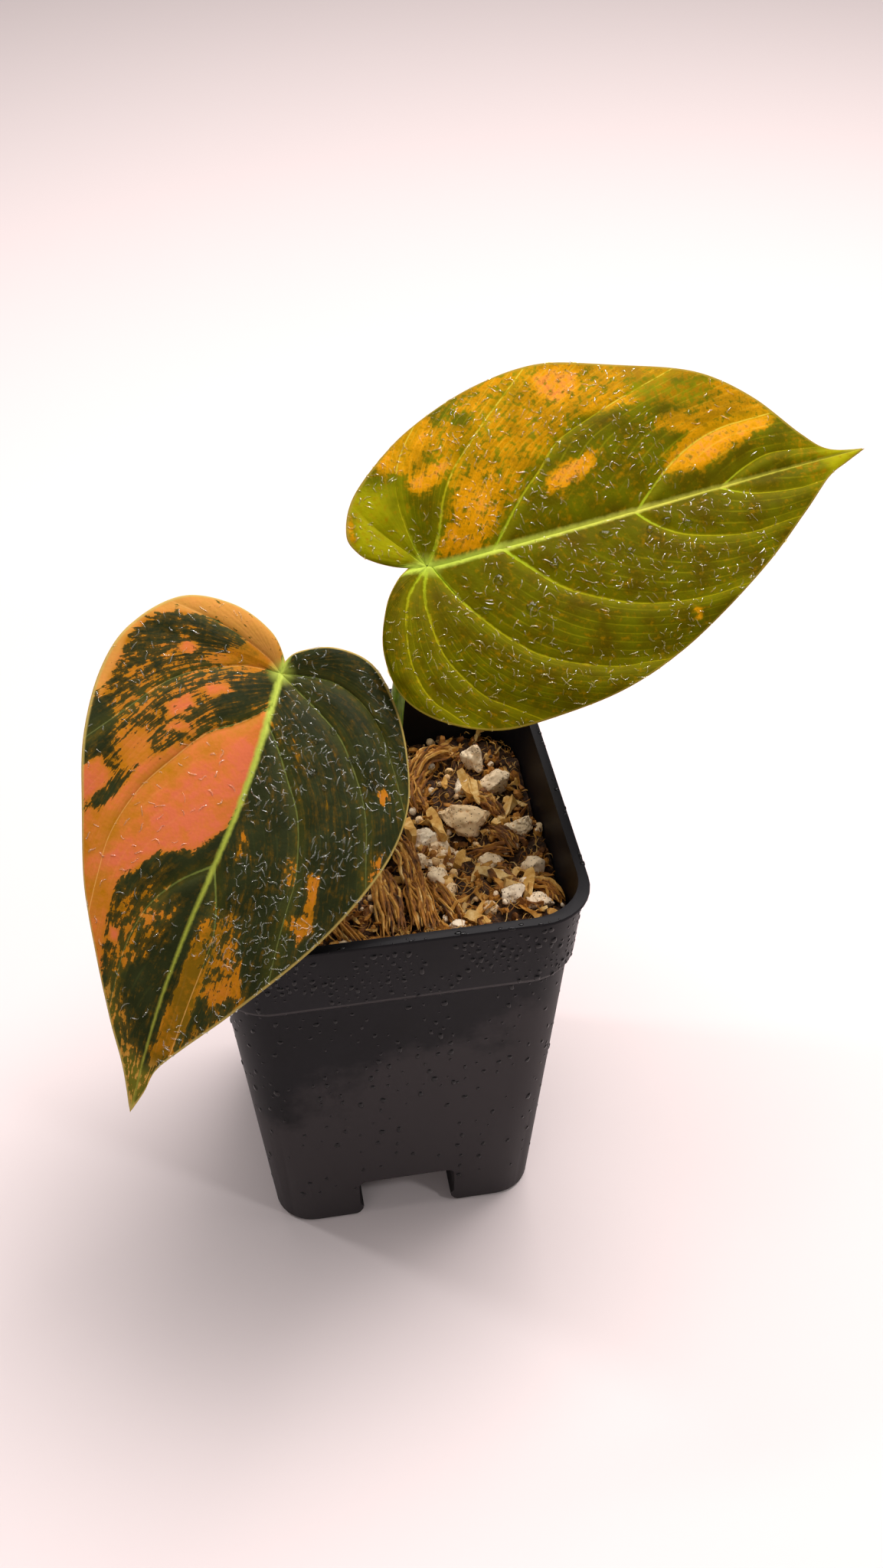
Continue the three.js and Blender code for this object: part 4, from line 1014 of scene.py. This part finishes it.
def make_blade(name, blade, ground, patches):
    """A blade's closed mesh with what its skin reads: where each corner lies, its place in the fan of fine
    veins, and its tissue."""
    hub, along, across, out, length = blade_axes(blade)
    sides = [blade_grid(blade, side, length) for side in (0, 1)]
    flat = np.vstack([grid[0].reshape(-1, 2) for grid in sides])
    shares, fan, left, gaps = (np.concatenate([grid[k].ravel() for grid in sides]) for k in (1, 2, 3, 4))
    to_vein = distance_to_lines(flat, [guide for grid in sides for guide in grid[5]])
    midrib = np.abs(flat[:, 1])
    nearest = np.minimum(to_vein, midrib)

    q = np.clip(flat[:, 0] / length, 0, 1)
    height = blade["bow"] * 4 * q * (1 - q) + blade["crease"] * (np.hypot(flat[:, 1], 1.5) - 1.5)
    height += 2 * (1 - np.exp(-(flat ** 2).sum(1) / 81)) - blade["curl"] * flat[:, 1] ** 2
    near = np.minimum(nearest, QUILT_REACH) / QUILT_REACH
    height += QUILT_HEIGHT * (1 - (1 - near) ** 2) * (1 - shares ** 4)
    around = np.concatenate([np.repeat(np.linspace(0, 1, len(grid[0])), ROWS + 1) for grid in sides])
    height += shares ** 3 * np.sin(np.pi * around) * np.sin(2 * np.pi * 4.5 * around)
    ridge = np.abs(np.sin(np.pi * fan)) ** 0.7 * np.minimum(0.055, 0.02 * gaps)
    height += ridge * np.clip(nearest / 1.2, 0, 1) * (1 - shares ** 8)
    height -= 0.28 * np.exp(-(nearest / 0.5) ** 2) * (1 - shares)

    _, first, merged = np.unique(np.round(flat, 3), axis=0, return_index=True, return_inverse=True)
    merged = merged.ravel()
    arc, wave = blade["sway"]
    sway = arc * np.sin(np.pi * q ** 0.55) + wave * np.sin(2 * np.pi * q)
    swayed = flat[:, 1] + sway * (1 - shares ** 2)
    spots = np.column_stack([flat[:, 0], swayed])[first]
    middle = hub + spots @ np.array([along, across]) + height[first][:, None] * out
    faces, corners, rims = [], [], []
    offset = 0
    for side, grid in enumerate(sides):
        columns, rows = grid[0].shape[:2]
        index = np.arange(columns * rows).reshape(columns, rows) + offset
        offset += columns * rows
        for i in range(columns - 1):
            for j in range(rows - 1):
                quad = [index[i, j], index[i + 1, j], index[i + 1, j + 1], index[i, j + 1]]
                if side == 1:
                    quad.reverse()
                kept = [k for n, k in enumerate(quad) if merged[k] != merged[quad[n - 1]]]
                if len(kept) > 2:
                    faces.append([merged[k] for k in kept])
                    corners.append(kept)
            pair = (index[i + 1, -1], index[i, -1]) if side == 0 else (index[i, -1], index[i + 1, -1])
            rims.append(pair)

    sheet = bpy.data.meshes.new("sheet")
    sheet.from_pydata(middle.tolist(), [], faces)
    normals = np.array([normal.vector[:] for normal in sheet.vertex_normals])
    bpy.data.meshes.remove(sheet)
    thick = LEAF_THICKNESS + (MARGIN_THICKNESS - LEAF_THICKNESS) * shares[first] ** 5
    rib = 1.1 * (1 - q) * np.exp(-(midrib / 1.6) ** 2) + 0.45 * (1 - shares) * np.exp(-(to_vein / 0.6) ** 2)
    upper = middle + normals * thick[:, None] / 2
    lower = middle - normals * (thick / 2 + rib[first])[:, None]

    count = len(middle)
    closed = faces + [[k + count for k in reversed(face)] for face in faces]
    sources = corners + [list(reversed(corner)) for corner in corners]
    under = [0.0] * len(faces) + [1.0] * len(faces)
    for a, b in rims:
        ma, mb = merged[a], merged[b]
        if ma != mb:
            closed.append([mb, ma, ma + count, mb + count])
            sources.append([b, a, a, b])
            under.append(0.0)
    mesh = bpy.data.meshes.new(name)
    places = np.vstack([upper, lower]) * MM + np.array(POT_FOOT)
    mesh.from_pydata(places.tolist(), [], closed)
    mesh.validate()
    source = np.concatenate([np.array(corner) for corner in sources])
    below = np.repeat(under, [len(corner) for corner in sources])
    cover = patch_cover(flat, ground, patches)[source]
    for label, kind, field, columns in (
        ("lie", "FLOAT_VECTOR", "vector", [flat[source], left[source]]),
        ("fan", "FLOAT_VECTOR", "vector", [fan[source], shares[source], to_vein[source]]),
        ("tissue", "FLOAT_COLOR", "color", [cover, below]),
    ):
        marks = mesh.attributes.new(label, kind, "CORNER")
        marks.data.foreach_set(field, np.column_stack(columns).astype(np.float32).ravel())
    mesh.shade_smooth()
    made = bpy.data.objects.new(name, mesh)
    bpy.context.collection.objects.link(made)
    return made


def leaf_skin(name, look):
    """Damp leaf skin. Pale tissue shows through green in flecks drawn out along the side veins, from gold to
    pink; the veins are lime, with greener skin along them, and the edge is a thin tan line."""
    skin, tree = new_finish(name)
    lie = add(tree, "Attribute", out="Vector", attribute_name="lie")
    fan = add(tree, "Attribute", out="Vector", attribute_name="fan")
    tissue = add(tree, "Attribute", out="Color", attribute_name="tissue")
    under = tissue.node.outputs["Alpha"]
    pale, pink, lime = add(tree, "SeparateColor", {0: tissue}).node.outputs
    across, midrib, left = add(tree, "SeparateXYZ", {0: lie}).node.outputs
    counted, out_share, to_vein = add(tree, "SeparateXYZ", {0: fan}).node.outputs

    flat = add(tree, "Mapping", {"Vector": lie, "Scale": (1, 1, 0)})
    drawn = add(tree, "Mapping", {"Vector": fan, "Scale": (1.7, 7, 0)})
    streaks = add(tree, "TexNoise", {"Vector": drawn, "Scale": 1, "Detail": 6, "Roughness": 0.66})
    flecks = add(tree, "TexNoise", {"Vector": flat, "Scale": 1 / 1.6, "Detail": 4, "Roughness": 0.62})
    clouds = add(tree, "TexNoise", {"Vector": flat, "Scale": 1 / 7, "Detail": 3})
    mosaic = add(tree, "Mix", {0: look["flecked"], 2: streaks, 3: flecks}, data_type="FLOAT")
    mosaic = add(tree, "MapRange", {"Value": mosaic, 1: 0.38, 2: 0.62, 3: look["clean"], 4: 0.97})
    margin = add(tree, "Math", {0: pale, 1: mosaic}, operation="SUBTRACT")
    shows = add(tree, "MapRange", {"Value": margin, 1: -look["blur"], 2: look["blur"]},
                interpolation_type="SMOOTHSTEP")
    veiled = add(tree, "MapRange", {"Value": margin, 1: -0.45, 2: 0.0, 3: 0.0, 4: look["veil"]})

    shift = add(tree, "MapRange", {"Value": clouds, 1: 0.3, 2: 0.7, 3: -0.2, 4: 0.2})
    lighter = add(tree, "Math", {0: lime, 1: shift}, operation="ADD")
    green = add(tree, "ValToRGB", {0: lighter}, stops=list(zip((0, 0.5, 1), look["greens"])))
    green = add(tree, "Mix", {0: veiled, 6: green, 7: linear(look["warm"][0])}, data_type="RGBA", out=2)
    mottle = add(tree, "MapRange", {"Value": flecks, 1: 0.35, 2: 0.65, 3: -look["mottle"], 4: look["mottle"]})
    hue = add(tree, "Math", {0: pink, 1: shift}, operation="ADD")
    hue = add(tree, "Math", {0: hue, 1: mottle}, operation="ADD")
    warm = add(tree, "ValToRGB", {0: hue}, stops=list(zip((0, 0.28, 0.55, 0.8, 1), look["warm"])))
    ripe = add(tree, "MapRange", {"Value": lime, 1: 0.3, 2: 0.9, 3: 0.0, 4: look["ripe"]})
    warm = add(tree, "Mix", {0: ripe, 6: warm, 7: linear("d9a24c")}, data_type="RGBA", out=2)
    colour = add(tree, "Mix", {0: shows, 6: green, 7: warm}, data_type="RGBA", out=2)

    nearest_fine = add(tree, "Math", {0: counted, 1: 0.5}, operation="PINGPONG")
    fine = add(tree, "MapRange", {"Value": nearest_fine, 1: 0.0, 2: 0.11, 3: look["fine"], 4: 0.0})
    fine_away = add(tree, "MapRange", {"Value": out_share, 1: 0.1, 2: 0.4, 3: 0.0, 4: 1.0})
    fine_broken = add(tree, "MapRange", {"Value": clouds, 1: 0.4, 2: 0.6, 3: 0.2, 4: 1.0})
    fine = add(tree, "Math", {0: fine, 1: fine_away}, operation="MULTIPLY")
    fine = add(tree, "Math", {0: fine, 1: fine_broken}, operation="MULTIPLY")
    vein_colour = add(tree, "ValToRGB", {0: out_share}, stops=list(zip((0, 0.3, 1), look["veins"])))
    vein_colour = add(tree, "Mix", {0: shows, 6: vein_colour, 7: linear(look["vein_in_pale"])},
                      data_type="RGBA", out=2)

    halo = add(tree, "MapRange", {"Value": to_vein, 1: 0.2, 2: 3.0, 3: look["halo"], 4: 0.0},
               interpolation_type="SMOOTHSTEP")
    green_left = add(tree, "MapRange", {"Value": shows, 3: 1.0, 4: look["vein_over_pale"]})
    halo = add(tree, "Math", {0: halo, 1: green_left}, operation="MULTIPLY")
    down = add(tree, "MapRange", {"Value": across, 2: look["length"]})
    vein_base = add(tree, "MapRange", {"Value": down, 3: look["vein_half"], 4: 0.12})
    vein_half = add(tree, "Mix", {0: out_share, 2: vein_base, 3: 0.12}, data_type="FLOAT")
    vein_near = add(tree, "Math", {0: to_vein, 1: vein_half}, operation="DIVIDE")
    frayed = add(tree, "MapRange", {"Value": flecks, 1: 0.3, 2: 0.7, 3: -0.4, 4: 0.4})
    vein_near = add(tree, "Math", {0: vein_near, 1: frayed}, operation="ADD")
    vein = add(tree, "MapRange", {"Value": vein_near, 1: 0.4, 2: 1.4, 3: look["vein_shows"], 4: 0.0},
               interpolation_type="SMOOTHSTEP")
    vein = add(tree, "Math", {0: vein, 1: green_left}, operation="MULTIPLY")

    midrib_half = add(tree, "MapRange", {"Value": across, 2: look["length"], 3: look["midrib_half"], 4: 0.36})
    midrib_away = add(tree, "Math", {0: midrib}, operation="ABSOLUTE")
    midrib_near = add(tree, "Math", {0: midrib_away, 1: midrib_half}, operation="DIVIDE")
    midrib_near = add(tree, "Math", {0: frayed, 1: 0.4, 2: midrib_near}, operation="MULTIPLY_ADD")
    midrib_line = add(tree, "MapRange", {"Value": midrib_near, 1: 0.35, 2: 1.5, 3: 1.0, 4: 0.0},
                      interpolation_type="SMOOTHSTEP")
    from_hub = add(tree, "VectorMath", {0: flat}, out="Value", operation="LENGTH")
    hub = add(tree, "MapRange", {"Value": from_hub, 1: 0.8, 2: 4, 3: 0.65, 4: 0.0},
              interpolation_type="SMOOTHSTEP")
    ribs = add(tree, "Math", {0: midrib_line, 1: hub}, operation="MAXIMUM")
    rib_colour = add(tree, "ValToRGB", {0: down}, stops=list(zip((0, 0.5, 1), look["midrib"])))
    edge = add(tree, "MapRange", {"Value": left, 1: 0.4, 2: 1.0, 3: 0.85, 4: 0.0})
    turned = add(tree, "Math", {0: under, 1: 0.7}, operation="MULTIPLY")
    for share, over in (
        (fine, vein_colour),
        (halo, linear(look["greens"][2])),
        (vein, vein_colour),
        (ribs, rib_colour),
        (edge, linear(look["rim"])),
        (turned, linear(look["back"])),
    ):
        colour = add(tree, "Mix", {0: share, 6: colour, 7: over}, data_type="RGBA", out=2)

    cells = add(tree, "TexVoronoi", {"Vector": flat, "Scale": 1 / 0.75}, out="Distance")
    skin_height = add(tree, "Mix", {0: 0.6, 2: cells, 3: flecks}, data_type="FLOAT")
    relief = add(tree, "Bump", {"Height": skin_height, "Strength": 0.7, "Distance": 0.12 * MM})
    gloss = add(tree, "MapRange", {"Value": clouds, 1: 0.3, 2: 0.7, 3: 0.44, 4: 0.6})
    add(tree, "OutputMaterial", {"Surface": add(tree, "BsdfPrincipled", {
        "Base Color": colour,
        "Roughness": gloss,
        "Specular IOR Level": 0.06,
        "Specular Tint": linear(look["sheen"]),
        "Normal": relief,
    })})
    return skin


# How each leaf's skin looks: lengths and widths in millimetres, strengths from 0 to 1, greens from dark
# to light, warm colours from gold to pink, and those of veins and midrib from their foot to their end.
DARK_LEAF = {
    "length": 102, "flecked": 0.4, "blur": 0.05, "clean": 0.08, "veil": 0.35, "mottle": 0.12, "ripe": 0.7,
    "fine": 0.1, "halo": 0.16, "vein_half": 0.42, "vein_shows": 0.8, "vein_over_pale": 0.65,
    "midrib_half": 1.0,
    "greens": ("22260f", "31361a", "66661e"),
    "warm": ("755406", "b06e0c", "bd7024", "cc6f34", "d16b44"),
    "veins": ("76823a", "687034", "5c6032"), "vein_in_pale": "dfa65a",
    "midrib": ("b8c854", "a2aa42", "9c9a40"),
    "rim": "c2a85c", "back": "6f7a4a", "sheen": "ffffff",
}
OLIVE_LEAF = {
    "length": 114, "flecked": 0.62, "blur": 0.24, "clean": 0.1, "veil": 0.5, "mottle": 0.28, "ripe": 0.0,
    "fine": 0.34, "halo": 0.2, "vein_half": 0.6, "vein_shows": 0.85, "vein_over_pale": 0.9,
    "midrib_half": 1.2,
    "greens": ("463801", "5a5c02", "989408"),
    "warm": ("8e6802", "b67e02", "d28e0a", "d68c30", "d67c38"),
    "veins": ("a3bb28", "a39d14", "8f8408"), "vein_in_pale": "cfb93a",
    "midrib": ("b4c84a", "c4c250", "a8a02e"),
    "rim": "94802e", "back": "8a8f52", "sheen": "f2cc50",
}
for name, blade, ground, patches, slot, skin in (
    ("lower", LOWER_BLADE, LOWER_GROUND, LOWER_PATCHES, "leaf_dark_pink",
     leaf_skin("variegated_leaf_dark", DARK_LEAF)),
    ("upper", UPPER_BLADE, UPPER_GROUND, UPPER_PATCHES, "leaf_olive_orange",
     leaf_skin("variegated_leaf_olive", OLIVE_LEAF)),
):
    leaf = make_blade(f"leaf_{name}", blade, ground, patches)
    settle(leaf, f"leaf_{name}", skin, slot, f"blade_{name}")


# Water: fine mist has wetted the whole plant. On the leaves it stands in short curled beads and flat blobs
# with round edges that catch the light; on the pot's skin it stands in small drops, drawn out downward.

# Mist is given by its beads' spacing and its reach along and across the midrib, or up the pot's side, and
# round drops by their leaf, place and radius.
MIST_LOWER = [(1.5, -30, 100, 1, 36), (3.3, -20, 95, -40, -1)]
MIST_UPPER = [(1.8, -18, 80, -44, -2), (1.8, -14, 62, 2, 42), (4.0, 60, 104, -30, 26)]
ROUND_DROPS = [("lower", 9.5, 15.5, 1.0), ("lower", 14.5, 21.5, 1.3), ("lower", 13.0, 12.5, 0.8),
               ("lower", 20.0, 14.0, 1.1), ("lower", 22.5, 17.5, 0.9), ("lower", 18.5, 27.0, 1.2),
               ("upper", 27.0, -9.0, 1.2), ("upper", 18.5, -17.5, 1.5), ("upper", 34.0, 15.0, 1.1),
               ("upper", 41.0, -5.5, 1.3), ("upper", 52.0, -7.0, 1.2), ("upper", 56.5, -6.0, 1.0),
               ("upper", 61.0, -8.0, 1.1), ("upper", 38.5, 9.0, 1.2), ("upper", 13.5, -9.0, 1.3),
               ("upper", 45.0, -11.0, 1.0), ("upper", 8.0, -15.0, 1.1)]
POT_MIST = [(1.9, 93, 110), (3.6, 55, 92), (5.0, 12, 55)]
RIM_DROPS = 34
wet_random = random.Random(77)


def water(name, roughness, clearness, film, tint_and_painted_glint, glint):
    """Water as light passes it: part straight through, and part bent and mirrored by its round skin."""
    finish, tree = new_finish(name)
    # Where the water is not fully clear, the rest is a flat pale colour: painted glint, standing in for the
    # light that the beads' round rims catch.
    body = add(tree, "BsdfPrincipled", {
        "Base Color": linear(tint_and_painted_glint),
        "Roughness": roughness,
        "IOR": 1.4,
        "Specular IOR Level": 0.9,
        "Specular Tint": linear(glint),
        "Transmission Weight": clearness,
    })
    through = add(tree, "BsdfTransparent")
    add(tree, "OutputMaterial", {"Surface": add(tree, "MixShader", {0: film, 1: through, 2: body})})
    return finish


# Clear drops bend the light. On the mist, the share that is not clear is a flat pale colour, tinted towards
# the leaf's own: painted glint for the bright rims of the beads.
clear_water = water("clear_water", 0.04, 1.0, 0.7, "ffffff", "ffffff")
mist_on_dark = water("mist_on_dark_leaf", 0.08, 0.9, 0.75, "fbfff0", "ffffff")
mist_on_olive = water("mist_on_olive_leaf", 0.08, 0.86, 0.75, "f4e48c", "ffe9a8")


def skin_of(piece):
    """A piece's surface, to find the nearest place on it."""
    return BVHTree.FromObject(piece, bpy.context.evaluated_depsgraph_get())


def on_skin(skin, place, lift):
    """The place on a surface nearest to a place, and so much above it, in millimetres."""
    touch, normal = skin.find_nearest(spot(*place))[:2]
    return np.array((touch - POT_FOOT) / MM + normal * lift)


def bead(skin, place, normal, heading, length, width, height):
    """A curled bead of water: stations of five points along its curve, and a point at each end."""
    turn, curled = wet_random.uniform(-3.2, 3.2), wet_random.random() < 0.6
    side = np.cross(normal, heading)
    stations = np.linspace(-1, 1, 8)
    points, at = [], np.zeros(3)
    for k, share in enumerate(stations):
        bent = turn * share / 2 if curled else turn * share * share
        way = math.cos(bent) * heading + math.sin(bent) * side
        over = np.cross(normal, way)
        full = math.sqrt(1 - share * share)
        middle = place + at
        if k in (0, len(stations) - 1):
            points.append(on_skin(skin, middle, 0.0))
        else:
            full *= wet_random.uniform(0.75, 1.15)
            for offset, lift in ((-1, -0.12), (-0.75, 0.62), (0, 1), (0.75, 0.62), (1, -0.12)):
                points.append(on_skin(skin, middle + over * offset * width / 2 * full, lift * height * full))
        at = at + way * length / (len(stations) - 1)
    last = len(points) - 1
    faces = []
    for k in range(len(stations) - 3):
        for j in range(5):
            a, b = 1 + 5 * k + j, 1 + 5 * k + (j + 1) % 5
            faces.append([a, b, b + 5, a + 5])
    for j in range(5):
        faces.append([0, 1 + (j + 1) % 5, 1 + j])
        faces.append([last, last - 5 + j, last - 5 + (j + 1) % 5])
    return points, faces, 0.5


def blob(skin, place, normal, heading, radius, height, drawn=1.0):
    """A flat-topped blob of water with a round wavy edge: three rings about a middle, closed underneath."""
    side = np.cross(normal, heading)
    phase = [wet_random.uniform(0, 6.28) for _ in range(2)]
    points = [on_skin(skin, place, height)]
    for ring, lift in ((0.5, 0.96), (0.85, 0.62), (1.0, -0.12)):
        for k in range(12):
            angle = k * math.pi / 6
            wave = 1 + 0.16 * math.sin(2 * angle + phase[0]) + 0.1 * math.sin(3 * angle + phase[1])
            reach = radius * ring * wave
            out = heading * math.cos(angle) * reach * drawn + side * math.sin(angle) * reach
            points.append(on_skin(skin, place + out, lift * height))
    points.append(on_skin(skin, place, -0.1))
    faces = []
    for k in range(12):
        n = (k + 1) % 12
        faces.append([0, 1 + k, 1 + n])
        faces.append([37, 25 + n, 25 + k])
        for base in (1, 13):
            faces.append([base + k, base + 12 + k, base + 12 + n, base + n])
    return points, faces, 0.5


def scattered(areas, reach=11):
    """Spots in rectangles, in clusters so far across, and each rectangle's own spacing apart at least."""
    chosen = []
    for spacing, x0, x1, y0, y1 in areas:
        for _ in range(int(6 * (x1 - x0) * (y1 - y0) / spacing ** 2)):
            place = (wet_random.uniform(x0, x1), wet_random.uniform(y0, y1))
            wet = noise.noise((place[0] / reach, place[1] / reach, reach))
            soaked = wet > wet_random.uniform(-0.25, 0.45)
            if soaked and all(math.dist(place, other) > spacing * 0.8 for other in chosen):
                chosen.append(place)
    return chosen


for name, blade, areas, slot, mist in (
    ("lower", LOWER_BLADE, MIST_LOWER, "leaf_dark_pink", mist_on_dark),
    ("upper", UPPER_BLADE, MIST_UPPER, "leaf_olive_orange", mist_on_olive),
):
    leaf = bpy.data.objects[f"leaf_{name}"]
    skin = skin_of(leaf)
    hub, along, across, out, length = blade_axes(blade)
    places = [(x, y, 0) for x, y in scattered(areas)] + [drop[1:] for drop in ROUND_DROPS if drop[0] == name]
    beads, round_drops = [], []
    for x, y, size in places:
        above = hub + x * along + y * across + 40 * out
        touch, normal = skin.ray_cast(spot(*above), Vector(-out))[:2]
        if touch is None or (abs(y) < 2 and not size):
            continue
        place, normal = np.array((touch - POT_FOOT) / MM), np.array(normal)
        heading = np.cross(normal, (wet_random.gauss(0, 1), wet_random.gauss(0, 1), wet_random.gauss(0, 1)))
        heading /= np.linalg.norm(heading)
        if size:
            round_drops.append(blob(skin, place, normal, heading, size, 0.55 * size))
        else:
            long, wide = wet_random.uniform(1.1, 3.0), wet_random.uniform(0.22, 0.42)
            beads.append(bead(skin, place, normal, heading, long, wide, 0.7 * wide))
    water_name = f"water_on_leaf_{name}"
    settle(laid(water_name, beads, 80), water_name, mist, slot)
    drops_name = f"drops_on_leaf_{name}"
    settle(laid(drops_name, round_drops, 80), drops_name, clear_water, slot)

skin = skin_of(pot)
drops = []
for turn in range(4):
    facing_out = Vector((0, -1, 0))
    facing_out.rotate(Quaternion((0, 0, 1), turn * math.pi / 2))
    side = Vector((0, 0, 1)).cross(facing_out)
    for spacing, low, high in POT_MIST:
        for x, z in scattered([(spacing, -41, 41, low, high)]):
            start = facing_out * 70 + side * x + Vector((0, 0, z))
            touch, normal = skin.ray_cast(spot(*start), -facing_out)[:2]
            if touch is None:
                continue
            down = Vector((0, 0, -1)) + normal * normal.z
            radius = 0.28 + 0.5 * wet_random.random() ** 2
            place = np.array((touch - POT_FOOT) / MM)
            shape = (radius, 0.36 * radius, wet_random.uniform(1, 1.6))
            drops.append(blob(skin, place, np.array(normal), np.array(down.normalized()), *shape))
    for _ in range(RIM_DROPS):
        out_by = 44.6 + wet_random.gauss(0, 0.3)
        start = facing_out * out_by + side * wet_random.uniform(-42, 42) + Vector((0, 0, 150))
        touch, normal = skin.ray_cast(spot(*start), Vector((0, 0, -1)))[:2]
        if touch is not None and touch.z > 0.112:
            radius = 0.2 + 0.4 * wet_random.random() ** 2
            drops.append(blob(skin, np.array((touch - POT_FOOT) / MM), np.array(normal), np.array(side),
                              radius, 0.4 * radius, wet_random.uniform(1, 1.8)))

# Water over black plastic shows only as a round skin with a glint, because what lies under it is black.
over_black, tree = new_finish("water_over_black_plastic")
add(tree, "OutputMaterial", {"Surface": add(tree, "BsdfPrincipled", {
    "Base Color": linear("060507"),
    "Roughness": 0.12,
    "IOR": 1.33,
})})
settle(laid("water_on_pot", drops, 80), "water_on_pot", over_black, "pot_plastic")
